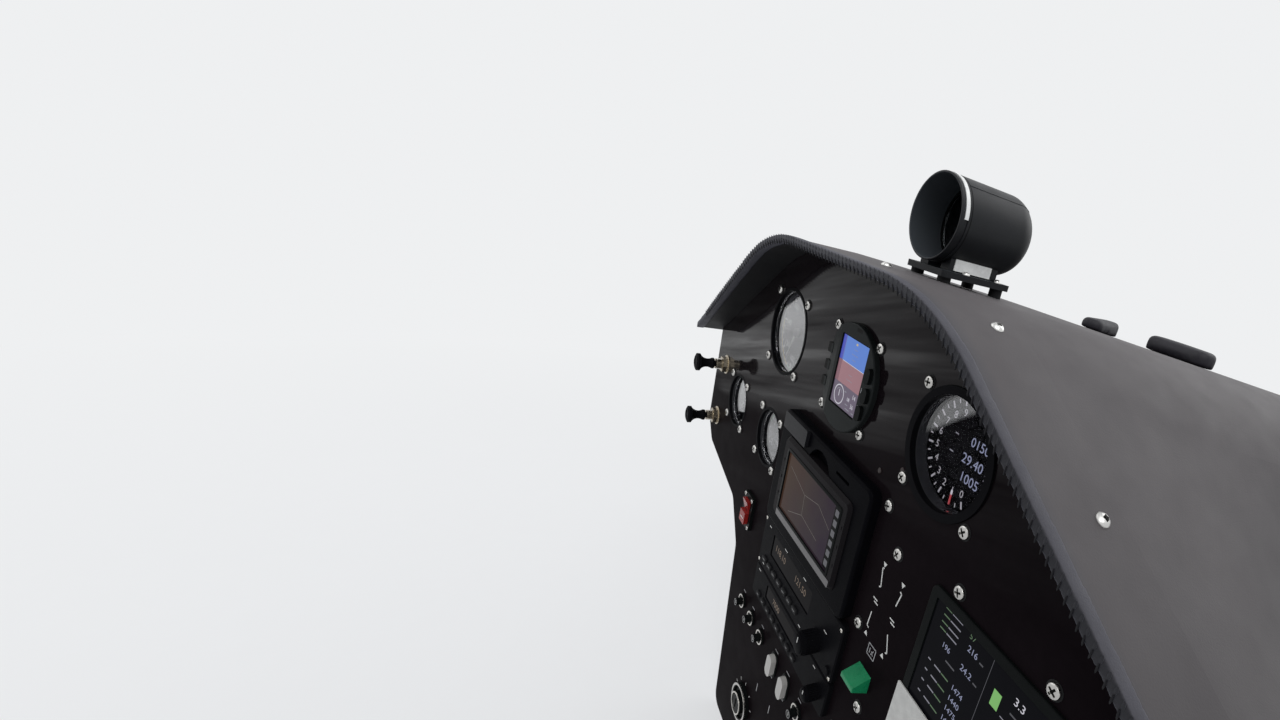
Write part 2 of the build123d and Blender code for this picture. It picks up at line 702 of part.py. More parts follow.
# Circuit breakers, with a ring on the panel and a round button
with BuildPart() as breakers:
    for x in BREAKERS_X:
        with BuildSketch(FACE):
            with Locations((x, ROW_HEIGHT)):
                Circle(BREAKER_R)
        extrude(amount=BREAKER_RING)
        with BuildSketch(FACE):
            with Locations((x, ROW_HEIGHT)):
                Circle(BREAKER_BUTTON[0])
        extrude(amount=BREAKER_BUTTON[1])
        can_behind(x, ROW_HEIGHT, BREAKER_R, SWITCH_DEPTH)
save(breakers, "breakers")

# Key switch
with BuildPart() as key_switch:
    with BuildSketch(FACE):
        with Locations(KEY_SWITCH):
            Circle(KEY_RING_R)
    extrude(amount=KEY_RING_PROUD)
    with BuildSketch(FACE.offset(KEY_RING_PROUD)):
        with Locations(KEY_SWITCH):
            Circle(KEY_RING_R - KEY_RING_W)
            Circle(KEY_BARREL_R, mode=Mode.SUBTRACT)
    extrude(amount=-KEY_RING_DEPTH, mode=Mode.SUBTRACT)
    with BuildSketch(FACE.offset(KEY_RING_PROUD)):
        with Locations(KEY_SWITCH):
            Circle(KEY_BARREL_R)
    extrude(amount=KEY_BARREL_PROUD)
    pocket(*KEY_SWITCH, *KEY_SLOT, KEY_RING_PROUD + KEY_BARREL_PROUD, KEY_SLOT_DEPTH, KEY_SLOT[0] / 3)
    can_behind(*KEY_SWITCH, KEY_RING_R, SWITCH_DEPTH)
save(key_switch, "key_switch")

# Push-pull knobs and their nuts
for name, x, height, reach in KNOBS:
    with BuildPart() as pull_knob:
        with BuildSketch(aft_plane(x, height)):
            with BuildLine():
                Polyline(
                    (-KNOB_TAIL, 0),
                    (-KNOB_TAIL, KNOB_SHAFT_R),
                    (reach - KNOB_L, KNOB_SHAFT_R),
                    (reach - KNOB_L, KNOB_COLLAR_R),
                    (reach - KNOB_L + KNOB_EDGE, KNOB_COLLAR_R),
                )
                ThreePointArc(
                    (reach - KNOB_L + KNOB_EDGE, KNOB_COLLAR_R),
                    (reach - KNOB_L / 2, KNOB_WAIST_R),
                    (reach - 2 * KNOB_EDGE, KNOB_R),
                )
                Polyline(
                    (reach - 2 * KNOB_EDGE, KNOB_R),
                    (reach - KNOB_EDGE / 2, KNOB_R),
                    (reach, KNOB_R - KNOB_EDGE),
                    (reach, 0),
                    (-KNOB_TAIL, 0),
                )
            make_face()
        revolve(axis=Axis((x, FACE_Y, ROW_UP + height), (0, -1, 0)))
    save(pull_knob, name)

with BuildPart() as pull_knob_nuts:
    for _, x, height, _ in KNOBS:
        with BuildSketch(FACE):
            with Locations((x, height)):
                RegularPolygon(KNOB_NUT_R, 6)
        extrude(amount=KNOB_NUT_T)
        with BuildSketch(FACE):
            with Locations((x, height)):
                Circle(KNOB_NECK_R)
        extrude(amount=KNOB_NUT_T + KNOB_NECK_L)
        with BuildSketch(FACE):
            with Locations((x, height)):
                Circle(KNOB_SHAFT_R + GAP)
        extrude(amount=KNOB_NUT_T + KNOB_NECK_L, mode=Mode.SUBTRACT)
save(pull_knob_nuts, "pull_knob_nuts")

# Compass
compass_y = FACE_Y + COMPASS_AFT
compass_z = ROW_UP + COMPASS_AXIS
compass_line = Axis((0, compass_y, compass_z), (0, 1, 0))
compass_plane = Plane(origin=(0, compass_y, compass_z), x_dir=(0, 1, 0), z_dir=(0, 0, 1))
inner_r = COMPASS_R - COMPASS_WALL
with BuildPart() as compass_case:
    with BuildSketch(compass_plane):
        with BuildLine():
            Line((0, -inner_r), (0, -COMPASS_R))
            Line((0, -COMPASS_R), (GROOVE_FROM_RIM, -COMPASS_R))
            Line((GROOVE_FROM_RIM, -COMPASS_R), (GROOVE_FROM_RIM, GROOVE_DEPTH - COMPASS_R))
            groove_end = GROOVE_FROM_RIM + GROOVE_W
            Line((GROOVE_FROM_RIM, GROOVE_DEPTH - COMPASS_R), (groove_end, GROOVE_DEPTH - COMPASS_R))
            Line((groove_end, GROOVE_DEPTH - COMPASS_R), (groove_end, -COMPASS_R))
            tube = Line((groove_end, -COMPASS_R), (COMPASS_TUBE, -COMPASS_R))
            shoulder = JernArc(tube @ 1, tube % 1, COMPASS_SHOULDER_R, COMPASS_SHOULDER_DEG)
            dome_r = -(shoulder @ 1).Y / cos(radians(COMPASS_SHOULDER_DEG))
            dome = JernArc(shoulder @ 1, shoulder % 1, dome_r, 90 - COMPASS_SHOULDER_DEG)
            inside = Line(dome @ 1, (dome @ 1) - Vector(COMPASS_WALL, 0))
            inner_dome_r = dome_r - COMPASS_WALL
            inner_dome = JernArc(inside @ 1, (0, -1), inner_dome_r, COMPASS_SHOULDER_DEG - 90)
            inner_shoulder_r = COMPASS_SHOULDER_R - COMPASS_WALL
            inner_shoulder = JernArc(
                inner_dome @ 1, inner_dome % 1, inner_shoulder_r, -COMPASS_SHOULDER_DEG
            )
            Line(inner_shoulder @ 1, (0, -inner_r))
        make_face()
    revolve(axis=compass_line)
save(compass_case, "compass_case")

with BuildPart() as compass_strip:
    rim_plane = Plane(
        origin=(0, compass_y + GROOVE_FROM_RIM + GAP, compass_z), x_dir=(1, 0, 0), z_dir=(0, -1, 0)
    )
    with BuildSketch(rim_plane):
        with BuildLine():
            start, stop = STRIP_DEG
            low = CenterArc((0, 0), COMPASS_R - GROOVE_DEPTH + GAP / 2, start, stop - start)
            high = CenterArc((0, 0), COMPASS_R + GAP, start, stop - start)
            Line(low @ 0, high @ 0)
            Line(low @ 1, high @ 1)
        make_face()
    extrude(amount=-(GROOVE_W - 2 * GAP))
save(compass_strip, "compass_strip")

with BuildPart() as compass_lens:
    with BuildSketch(Plane(origin=(0, compass_y + LENS_RECESS, compass_z), x_dir=(1, 0, 0), z_dir=(0, -1, 0))):
        Circle(inner_r - GAP)
    extrude(amount=-LENS_T)
save(compass_lens, "compass_lens")

base_top = ROW_UP + BASE_UP
with BuildPart() as compass_base:
    with BuildSketch(Plane.XY.offset(base_top - BASE_T)):
        with Locations((0, FACE_Y + BASE_AFT + BASE_L / 2)):
            RectangleRounded(BASE_W, BASE_L, BASE_CORNER)
    extrude(amount=BASE_T)
save(compass_base, "compass_base")

with BuildPart() as compass_saddle:
    with BuildSketch(Plane.XZ.offset(-(FACE_Y + SADDLE_AFT))):
        for side in (-1, 1):
            with Locations((side * (SADDLE_W + SADDLE_INNER) / 4, base_top + SADDLE_H / 2)):
                Rectangle((SADDLE_W - SADDLE_INNER) / 2, SADDLE_H)
        with Locations((0, compass_z)):
            Circle(COMPASS_R + GAP, mode=Mode.SUBTRACT)
    extrude(amount=-SADDLE_L)
save(compass_saddle, "compass_saddle")

with BuildPart() as compass_label:
    with BuildSketch(Plane.YZ.offset(SADDLE_W / 2)):
        with Locations((FACE_Y + LABEL_AFT + LABEL[0] / 2, ROW_UP + LABEL_UP)):
            Rectangle(*LABEL)
    extrude(amount=LABEL_T)
save(compass_label, "compass_label")

# Feet and pads stand on the coaming, so this block ends them a clearance above it
with BuildPart() as under_skin:
    loft([below(section) for section in SECTIONS])
under_skin = under_skin.part.moved(Location((0, 0, GAP)))

with BuildPart() as compass_feet:
    with BuildSketch(Plane.XY.offset(base_top - BASE_T)):
        with Locations((0, FACE_Y + BASE_AFT + BASE_L / 2)):
            with GridLocations(BASE_W - 2 * FOOT_INSET, BASE_L - 2 * FOOT_INSET, 2, 2):
                Circle(FOOT_R)
    extrude(amount=-(BASE_UP - SECTIONS[2][1]))
    add(under_skin, mode=Mode.SUBTRACT)
save(compass_feet, "compass_feet")

# Demister pads
with BuildPart() as demister_pads:
    for x, forward, turn, top in PADS:
        with BuildSketch(Plane.XY.offset(ROW_UP + top)) as pad:
            with Locations(Location((x, FACE_Y + forward, 0), (0, 0, turn))):
                RectangleRounded(PAD_L, PAD_W, PAD_END_R)
        extrude(pad.sketch, amount=-(top - SECTIONS[2][1] / 2))
    tops = demister_pads.faces().sort_by(Axis.Z)[-2:]
    fillet(tops.edges(), PAD_FILLET)
    add(under_skin, mode=Mode.SUBTRACT)
save(demister_pads, "demister_pads")
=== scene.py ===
from math import atan2, cos, degrees, pi, radians, sin

import bmesh
import bpy
from bpy.props import FloatProperty, FloatVectorProperty, PointerProperty
from mathutils import Matrix, Vector
from mathutils.bvhtree import BVHTree
from mathutils.kdtree import KDTree


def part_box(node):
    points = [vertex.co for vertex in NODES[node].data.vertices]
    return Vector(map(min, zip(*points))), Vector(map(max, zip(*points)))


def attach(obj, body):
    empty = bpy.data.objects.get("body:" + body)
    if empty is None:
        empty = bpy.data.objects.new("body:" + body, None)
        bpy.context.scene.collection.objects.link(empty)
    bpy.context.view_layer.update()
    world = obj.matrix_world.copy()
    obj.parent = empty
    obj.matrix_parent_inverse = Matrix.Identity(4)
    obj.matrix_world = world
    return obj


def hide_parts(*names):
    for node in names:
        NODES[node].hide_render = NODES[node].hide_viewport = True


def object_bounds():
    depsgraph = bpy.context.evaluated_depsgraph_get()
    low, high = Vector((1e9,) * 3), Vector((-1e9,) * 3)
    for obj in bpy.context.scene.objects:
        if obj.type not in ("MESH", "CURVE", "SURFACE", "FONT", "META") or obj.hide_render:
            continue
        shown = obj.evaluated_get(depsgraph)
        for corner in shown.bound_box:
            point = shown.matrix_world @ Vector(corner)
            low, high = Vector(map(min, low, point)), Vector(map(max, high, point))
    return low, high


bl_info = {
    "name": "Instrument Panel Looks",
    "version": (1, 0, 0),
    "blender": (4, 5, 0),
    "location": "View3D > Sidebar > Panel",
    "description": "Finishes, dials, displays, screws and stitching of an aircraft instrument panel",
    "category": "Object",
}

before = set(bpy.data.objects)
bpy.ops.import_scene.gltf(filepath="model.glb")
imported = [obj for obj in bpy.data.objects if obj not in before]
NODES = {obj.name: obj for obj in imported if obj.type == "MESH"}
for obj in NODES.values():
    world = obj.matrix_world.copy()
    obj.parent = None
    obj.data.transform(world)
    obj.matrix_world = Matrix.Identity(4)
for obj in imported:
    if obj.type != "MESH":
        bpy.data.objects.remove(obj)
CAD_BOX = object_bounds()

MM = 0.001
FACE_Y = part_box("panel_plate")[0].y
ROW_Z = sum(corner.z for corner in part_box("flight_display")) / 2
COMPASS_AXIS = Vector((0, FACE_Y + 36.5 * MM, ROW_Z + 123 * MM))
# A shape is made round its own origin in millimetres, with its front towards +Z
FACING_AFT = Matrix(((1, 0, 0, 0), (0, 0, -1, 0), (0, 1, 0, 0), (0, 0, 0, 1)))
SMOOTH_ANGLE = radians(40)
SHADER = "ShaderNode"


def on_panel(x, up, aft=0, turn=0):
    """Place on the panel: to the side, up from the upper row and aft of the face, in millimetres."""
    place = Matrix.Translation((x * MM, FACE_Y - aft * MM, ROW_Z + up * MM))
    return place @ FACING_AFT @ Matrix.Rotation(radians(turn), 4, "Z")


# Shader maths


def maths(operation, swapped=False):
    """An operator of a signal that adds one Math node."""

    def result(self, other):
        values = (other, self) if swapped else (self, other)
        return self.nodes.node("Math", {"operation": operation}, dict(enumerate(values)))

    return result


class Signal:
    """A socket whose arithmetic adds Math nodes to its tree."""

    def __init__(self, nodes, socket):
        self.nodes = nodes
        self.socket = socket

    def beside(self, name):
        """Another output of the same node."""
        return Signal(self.nodes, self.socket.node.outputs[name])

    most = maths("MAXIMUM")
    __add__ = __radd__ = maths("ADD")
    __sub__ = maths("SUBTRACT")
    __rsub__ = maths("SUBTRACT", swapped=True)
    __mul__ = __rmul__ = maths("MULTIPLY")
    __gt__ = maths("GREATER_THAN")
    __lt__ = maths("LESS_THAN")


class Nodes:
    """A node tree that grows by one method."""

    def __init__(self, tree):
        self.tree = tree

    def node(self, kind, settings=None, inputs=None, output=0):
        """Adds one node, with its settings first and then its sockets' values or links."""
        node = self.tree.nodes.new(SHADER + kind)
        for key, value in (settings or {}).items():
            if key == "stops":
                ramp = node.color_ramp.elements
                while len(ramp) < len(value):
                    ramp.new(1)
                for element, (position, colour) in zip(ramp, value):
                    element.position = position
                    element.color = (*colour, 1) if isinstance(colour, tuple) else (colour,) * 3 + (1,)
            else:
                setattr(node, key, value)
        for key, value in (inputs or {}).items():
            self.join(node.inputs[key], value)
        return Signal(self, node.outputs[output])

    def join(self, socket, value):
        if isinstance(value, Signal):
            self.tree.links.new(value.socket, socket)
        elif socket.type == "RGBA" and len(value) == 3:
            socket.default_value = (*value, 1)
        else:
            socket.default_value = value

    def shown(self, share, lit, seen):
        """One shader that lights, and another by a share for what is seen, also in gloss or through glass."""
        path = self.node("LightPath", output="Is Camera Ray")
        looked_at = path.most(path.beside("Is Glossy Ray")).most(path.beside("Is Transmission Ray"))
        return self.node("MixShader", {}, {0: looked_at * share, 1: lit, 2: seen})


class Finish(Nodes):
    """A material with one principled shader and the nodes that feed it."""

    def __init__(self, name, **constants):
        self.material = bpy.data.materials.new(name)
        self.material.use_nodes = True
        super().__init__(self.material.node_tree)
        self.shader = self.tree.nodes["Principled BSDF"]
        self.object = self.node("TexCoord", output="Object")
        for socket, value in constants.items():
            self.feed(socket.replace("_", " "), value)

    def feed(self, socket, value):
        """Sets or links one of the shader's own sockets."""
        self.join(self.shader.inputs[socket], value)

    def stretched(self, lengths, lean=0):
        """Object coordinates, turned round Y and divided by three lengths."""
        inputs = {"Vector": self.object, "Rotation": (0, radians(lean), 0), "Scale": lengths}
        return self.node("Mapping", {"vector_type": "TEXTURE"}, inputs)

    def noise(self, scale, detail=2, roughness=0.5, vector=None):
        """Soft noise from 0 to 1, its scale in cells per metre."""
        inputs = {"Vector": vector or self.object, "Scale": scale, "Detail": detail, "Roughness": roughness}
        return self.node("TexNoise", {}, inputs)

    def cells(self, scale, feature="F1", vector=None):
        """Distance to the nearest cell's middle, or to its edge."""
        inputs = {"Vector": vector or self.object, "Scale": scale}
        return self.node("TexVoronoi", {"feature": feature}, inputs, "Distance")

    def ramp(self, value, *stops):
        """Colours along a value."""
        return self.node("ValToRGB", {"stops": stops}, {0: value})

    def mix(self, share, first, second):
        """Mixes two colours by a share from 0 to 1."""
        return self.node("Mix", {"data_type": "RGBA"}, {0: share, 6: first, 7: second}, 2)

    def bump(self, height, depth, strength=1):
        """Feeds the shader's normal from a height from 0 to 1 that stands for a depth in millimetres."""
        inputs = {"Height": height, "Distance": depth * MM, "Strength": strength}
        self.feed("Normal", self.node("Bump", {}, inputs, "Normal"))

    def along(self, axis):
        """One Object coordinate, in metres."""
        return self.node("SeparateXYZ", {}, {0: self.object}, axis)

    def looks(self, axis):
        """How far a surface looks along an axis, from -1 to 1."""
        normal = self.node("NewGeometry", output="Normal")
        return self.node("SeparateXYZ", {}, {0: normal}, axis)

    def retouch(self, share, colour):
        """Gives part of the surface another colour."""
        base = self.shader.inputs["Base Color"].links[0].from_socket
        self.feed("Base Color", self.mix(share, Signal(self, base), colour))

    def lined(self, centre, skin, lining):
        """One colour outside a shell round a line along Y, and another inside it."""
        reach = self.node("VectorMath", {"operation": "SUBTRACT"}, {0: self.object, 1: centre})
        across = self.node("VectorMath", {"operation": "MULTIPLY"}, {0: reach, 1: (1, 0, 1)})
        normal = self.node("NewGeometry", output="Normal")
        outward = self.node("VectorMath", {"operation": "DOT_PRODUCT"}, {0: across, 1: normal}, "Value")
        return self.mix(outward < -2 * MM, skin, lining)


# Meshes


def linked(name, data):
    """A new object in the scene."""
    thing = bpy.data.objects.new(name, data)
    bpy.context.scene.collection.objects.link(thing)
    return thing


def object_of(name, mesh):
    """A new object that takes up a shape."""
    data = bpy.data.meshes.new(name)
    mesh.to_mesh(data)
    mesh.free()
    return linked(name, data)


class Piece:
    """Copies of shapes, gathered into one object in metres."""

    def __init__(self, name, slot):
        self.name = name
        self.slot = slot
        self.mesh = bmesh.new()
        self.finishes = []

    def add(self, finish, shape, place):
        """Adds a copy of a shape at a place, with one finish all over."""
        if finish not in self.finishes:
            self.finishes.append(finish)
        copy = shape.copy()
        copy.transform(place @ Matrix.Scale(MM, 4))
        for face in copy.faces:
            face.material_index = self.finishes.index(finish)
        data = bpy.data.meshes.new(self.name)
        copy.to_mesh(data)
        copy.free()
        self.mesh.from_mesh(data)
        bpy.data.meshes.remove(data)

    def put(self, finish, shape, x, up, aft=0, turn=0):
        """Adds a shape at a place on the panel."""
        self.add(finish, shape, on_panel(x, up, aft, turn))

    def done(self, angle=SMOOTH_ANGLE):
        """Makes the object, which rides on the panel."""
        piece = object_of(self.name, self.mesh)
        for finish in self.finishes:
            piece.data.materials.append(finish_of(finish).material)
        piece.data.shade_smooth()
        piece.data.set_sharp_from_angle(angle=angle)
        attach(piece, "root")


def lifted(mesh, height):
    """Moves a shape along +Z."""
    bmesh.ops.translate(mesh, vec=(0, 0, height), verts=mesh.verts)
    return mesh


def points_of(geometry):
    """The corners among some geometry."""
    return [item for item in geometry if isinstance(item, bmesh.types.BMVert)]


def thickened(mesh, height):
    """Makes a closed slab of the flat faces of a shape."""
    raised = bmesh.ops.extrude_face_region(mesh, geom=mesh.faces[:])["geom"]
    bmesh.ops.translate(mesh, vec=(0, 0, height), verts=points_of(raised))
    bmesh.ops.recalc_face_normals(mesh, faces=mesh.faces)
    return mesh


def block(wide, high, thick, bevel=0, segments=2):
    """Slab on its base, with bevelled edges."""
    mesh = bmesh.new()
    bmesh.ops.create_cube(mesh, size=1)
    bmesh.ops.scale(mesh, vec=(wide, high, thick), verts=mesh.verts)
    if bevel:
        round_off(mesh, mesh.edges[:], bevel, segments)
    return lifted(mesh, thick / 2)


def round_off(mesh, edges, width, segments=2):
    bmesh.ops.bevel(
        mesh, geom=edges, offset=width, offset_type="OFFSET", segments=segments, profile=0.5,
        affect="EDGES", clamp_overlap=True, material=-1,
    )


def rounded(wide, high, thick, corner, bevel=0, segments=4):
    """Slab with round upright corners and a bevelled front."""
    mesh = block(wide, high, thick)
    upright = [edge for edge in mesh.edges if abs(edge.verts[0].co.z - edge.verts[1].co.z) > thick / 2]
    round_off(mesh, upright, corner, segments)
    if bevel:
        front = [edge for edge in mesh.edges if all(vert.co.z > thick * 0.99 for vert in edge.verts)]
        round_off(mesh, front, bevel)
    return mesh


def turned(profile, steps=32):
    """Full turn of a profile of radius and height pairs about Z."""
    mesh = bmesh.new()
    line = [mesh.verts.new((radius, 0, height)) for radius, height in profile]
    edges = [mesh.edges.new(pair) for pair in zip(line, line[1:])]
    about = {"axis": (0, 0, 1), "cent": (0, 0, 0), "angle": 2 * pi, "steps": steps}
    bmesh.ops.spin(mesh, geom=line + edges, use_merge=True, **about)
    bmesh.ops.remove_doubles(mesh, verts=mesh.verts, dist=1e-4)
    bmesh.ops.recalc_face_normals(mesh, faces=mesh.faces)
    return mesh


def ring(radius, width, thick, steps=48):
    """Flat ring with its outer radius, its width and its thickness."""
    inner = radius - width
    return turned([(inner, 0), (radius, 0), (radius, thick), (inner, thick), (inner, 0)], steps)


def disc(radius, thick, edge=0, steps=32):
    """Round slab on its base, with a bevelled front edge."""
    return turned([(0, 0), (radius, 0), (radius, thick - edge), (radius - edge, thick), (0, thick)], steps)


def pebble(wide, high, thick, steps=10):
    """Stretched ball round its own middle."""
    mesh = bmesh.new()
    bmesh.ops.create_uvsphere(mesh, u_segments=steps, v_segments=steps // 2 + 1, radius=0.5)
    bmesh.ops.scale(mesh, vec=(wide, high, thick), verts=mesh.verts)
    return mesh


def arc_bar(radius, width, start, stop, thick, steps=24):
    """Flat band along an arc, its degrees from the right-hand side, upwards."""
    mesh = bmesh.new()
    line = [mesh.verts.new((reach, 0, 0)) for reach in (radius - width / 2, radius + width / 2)]
    edge = mesh.edges.new(line)
    bmesh.ops.rotate(mesh, verts=line, cent=(0, 0, 0), matrix=Matrix.Rotation(radians(start), 3, "Z"))
    turn = radians(stop - start)
    bmesh.ops.spin(mesh, geom=line + [edge], axis=(0, 0, 1), cent=(0, 0, 0), angle=turn, steps=steps)
    return thickened(mesh, thick)


def letters(text, height, thick=0.06):
    """Plain figures, centred on their origin, with their height in millimetres."""
    curve = bpy.data.curves.new("figures", "FONT")
    curve.body = text
    curve.align_x = "CENTER"
    curve.align_y = "CENTER"
    curve.resolution_u = 3
    curve.size = height / 0.7
    curve.extrude = thick / 2
    holder = bpy.data.objects.new("figures", curve)
    data = bpy.data.meshes.new_from_object(holder)
    mesh = bmesh.new()
    mesh.from_mesh(data)
    bmesh.ops.remove_doubles(mesh, verts=mesh.verts, dist=1e-5)
    bpy.data.objects.remove(holder)
    bpy.data.curves.remove(curve)
    bpy.data.meshes.remove(data)
    return mesh


def cut_by(mesh, tool):
    """Takes one shape out of another."""
    holders = [object_of("body", mesh), object_of("tool", tool)]
    modifier = holders[0].modifiers.new("cut", "BOOLEAN")
    modifier.object = holders[1]
    modifier.operation = "DIFFERENCE"
    modifier.solver = "EXACT"
    result = bmesh.new()
    result.from_object(holders[0], bpy.context.evaluated_depsgraph_get())
    for holder in holders:
        bpy.data.meshes.remove(holder.data)
    if not result.faces:
        raise RuntimeError("the cut left nothing")
    return result


def screw_head(radius, height, recess=0.62):
    """Pan-shaped screw head with a cross recess."""
    dome = []
    for step in range(9):
        angle = step * pi / 16
        dome.append((radius * cos(angle) ** 0.45, height * (0.2 + 0.8 * sin(angle) ** 0.8)))
    head = turned([(0, 0), (radius * 0.97, 0), *dome[:-1], (0, height)], 28)
    reach, half = radius * recess, radius * 0.16
    corners = [Vector((reach, -half, 0)), Vector((reach, half, 0)), Vector((half, half, 0))]
    turns = [Matrix.Rotation(step * pi / 2, 3, "Z") for step in range(4)]
    outline = [turn @ corner for turn in turns for corner in corners]
    cross = bmesh.new()
    cross.faces.new([cross.verts.new(point) for point in outline])
    return cut_by(head, lifted(thickened(cross, height), height * 0.4))


# Where loose pieces sit on the solids


def surface_of(node):
    """Search tree of a CAD node's surface."""
    data = NODES[node].data
    triangles = [tuple(face.vertices) for face in data.polygons]
    return BVHTree.FromPolygons([vert.co for vert in data.vertices], triangles)


def seat(tree, x, y, spread=4):
    """Place on top of a surface, averaged round a point so that a hole doesn't matter."""
    hits = []
    for side_x, side_y in ((-1, 0), (1, 0), (0, -1), (0, 1)):
        start = Vector((x + side_x * spread * MM, y + side_y * spread * MM, 1))
        hit, normal, _, _ = tree.ray_cast(start, Vector((0, 0, -1)))
        if hit is None:
            raise RuntimeError(f"nothing lies under {x:.3f}, {y:.3f}")
        hits.append((hit, normal))
    middle = sum((hit for hit, _ in hits), Vector()) / len(hits)
    normal = sum((normal for _, normal in hits), Vector()).normalized()
    return middle, normal


def standing_on(point, normal, turn=0):
    """Place whose +Z is a surface's normal."""
    lean = normal.to_track_quat("Z", "Y").to_matrix().to_4x4()
    return Matrix.Translation(point) @ lean @ Matrix.Rotation(turn, 4, "Z")


# Finishes


def grain(finish, scale, depth, wrinkles=0):
    """Fine cells, as moulded plastic or leather has them, with an optional slow wrinkle."""
    height = finish.cells(scale, "SMOOTH_F1") * 0.8 + finish.noise(scale * 2.2, 3) * 0.4
    if wrinkles:
        height = height + finish.noise(scale * 0.06, 4, 0.6) * wrinkles
    finish.bump(height, depth)


def mottled(finish, colour, spread, scale, tint=(1, 1, 1)):
    """A colour that varies slowly and finely round its own value."""
    dark = tuple(value * (1 - spread) for value in colour)
    light = tuple(value * (1 + spread) * shade for value, shade in zip(colour, tint))
    share = finish.noise(scale, 4, 0.55) * 0.7 + finish.noise(scale * 14, 2) * 0.3
    return finish.mix(finish.ramp(share, (0.3, 0), (0.7, 1)), dark, light)


def dusted(finish, colour, dust, amount, scale=900):
    """Pale specks and a thin haze on what looks up."""
    up = finish.looks("Z")
    haze = finish.ramp(up * 0.7 + finish.noise(25, 5) * 0.4, (0.45, 0), (1, amount))
    specks = finish.ramp(finish.cells(scale), (0.04, amount * 2.5), (0.09, 0))
    rare = finish.noise(scale * 0.4) > 0.58
    return finish.mix(haze + specks * rare, colour, dust)


def moulded(name, colour, roughness=0.45, gloss=0.25, scale=2600, depth=0.05, spread=0.18):
    """Moulded plastic with a fine skin."""
    finish = Finish(name, Specular_IOR_Level=gloss)
    finish.feed("Base Color", mottled(finish, colour, spread, 60))
    finish.feed("Roughness", finish.noise(120, 3) * 0.16 + (roughness - 0.08))
    grain(finish, scale, depth)
    return finish


def display_finish():
    """Satin black body of the flight display, with duller lugs on its flat side."""
    finish = moulded("display_black", (0.014, 0.016, 0.016), 0.34, 0.04, 3200, 0.03, 0.15)
    finish.retouch(finish.along("X") < -34 * MM, (0.003, 0.003, 0.003))
    return finish


def case_finish():
    """Black of the instrument cases, duller and paler behind the panel's face."""
    finish = moulded("case_black", (0.005, 0.005, 0.006), 0.42, 0.015, spread=0)
    finish.retouch(finish.along("Y") > FACE_Y + 3 * MM, (0.045, 0.046, 0.05))
    return finish


def glowing(name, colour, strength=1, lines=900):
    """Lit marks, with the fine lines of a display in their colour."""
    finish = Finish(name, Base_Color=(0.01, 0.01, 0.01), Roughness=0.3, Emission_Strength=strength)
    wave = finish.node("TexWave", {"wave_type": "BANDS", "bands_direction": "X"},
                       {"Vector": finish.object, "Scale": lines}, "Fac")
    share = wave * 0.2 + finish.noise(90, 3) * 0.3
    dim = tuple(value * 0.62 for value in colour)
    finish.feed("Emission Color", finish.mix(share, colour, dim))
    return finish


def printed(name, colour, roughness=0.5):
    """Screen-printed marks, a little uneven."""
    finish = Finish(name)
    finish.feed("Base Color", mottled(finish, colour, 0.12, 240))
    finish.feed("Roughness", finish.noise(300) * 0.2 + (roughness - 0.1))
    finish.bump(finish.noise(1800, 2), 0.02)
    return finish


def plated(name, colour, roughness=0.16, scale=90):
    """Bright plating with fine scratches."""
    finish = Finish(name, Metallic=1)
    finish.feed("Base Color", mottled(finish, colour, 0.1, scale))
    scratches = finish.noise(700, 3, 0.7, finish.stretched((1, 6, 1)))
    finish.feed("Roughness", finish.ramp(scratches, (0.35, roughness * 0.6), (0.75, roughness * 1.9)))
    finish.bump(finish.noise(420, 4), 0.03, 0.6)
    return finish


def coaming_finish():
    """Grained plastic, with painted shade low down, darker at its aft edge, and near-black inside as painted
    shade.
    """
    look = bpy.context.scene.panel_look
    finish = Finish("grained_coaming", Specular_IOR_Level=0.25)
    colour = mottled(finish, look.coaming, 0.1, 9, (1, 0.985, 0.97))
    # Painted shade: the colour darkens towards the bottom of the coaming.
    low = finish.ramp(finish.along("Z") * 4 + finish.noise(8, 2) * 0.3, (0.2, 1), (0.9, 0))
    colour = finish.mix(low, colour, tuple(value * 0.5 for value in look.coaming))
    edge = finish.ramp(finish.along("Y") * 100 - (FACE_Y * 100 - 2.8), (0, 0.9), (1, 0))
    skin = dusted(finish, finish.mix(edge, colour, look.leather), (0.3, 0.29, 0.28), 0.08)
    # Painted shade: the inside of the shell, under the coaming, is near black.
    finish.feed("Base Color", finish.lined((0, 0, ROW_Z - 0.16), skin, (0.0025, 0.0025, 0.004)))
    finish.feed("Roughness", finish.noise(40, 4) * 0.2 + 0.5)
    grain(finish, 1100, 0.09, 0.5)
    return finish


def leather_finish():
    """Leather, paler in patches where it looks up, with painted shade where it looks aft."""
    look = bpy.context.scene.panel_look
    finish = Finish("rim_leather", Specular_IOR_Level=0.25, Sheen_Weight=0.1, Sheen_Roughness=0.5,
                    Sheen_Tint=(0.55, 0.58, 0.75))
    # Paler in patches where the surface looks up.
    paler_looking_up = finish.ramp(finish.looks("Z") + finish.noise(160, 3) * 0.6, (0.9, 0), (1.5, 0.3))
    colour = mottled(finish, look.leather, 0.2, 30)
    colour = finish.mix(paler_looking_up, colour, tuple(value * 1.4 for value in look.leather))
    # Painted shade: the faces that look aft are darkened to near black.
    aft = finish.looks("Y") * -2.5 - 1.6
    shade = finish.ramp(aft + finish.noise(200, 3) * 0.4, (0, 0), (1, 1))
    finish.feed("Base Color", finish.mix(shade, colour, (0.012, 0.012, 0.015)))
    finish.feed("Roughness", finish.noise(80, 4) * 0.25 + 0.46)
    grain(finish, 1500, 0.16, 0.9)
    return finish


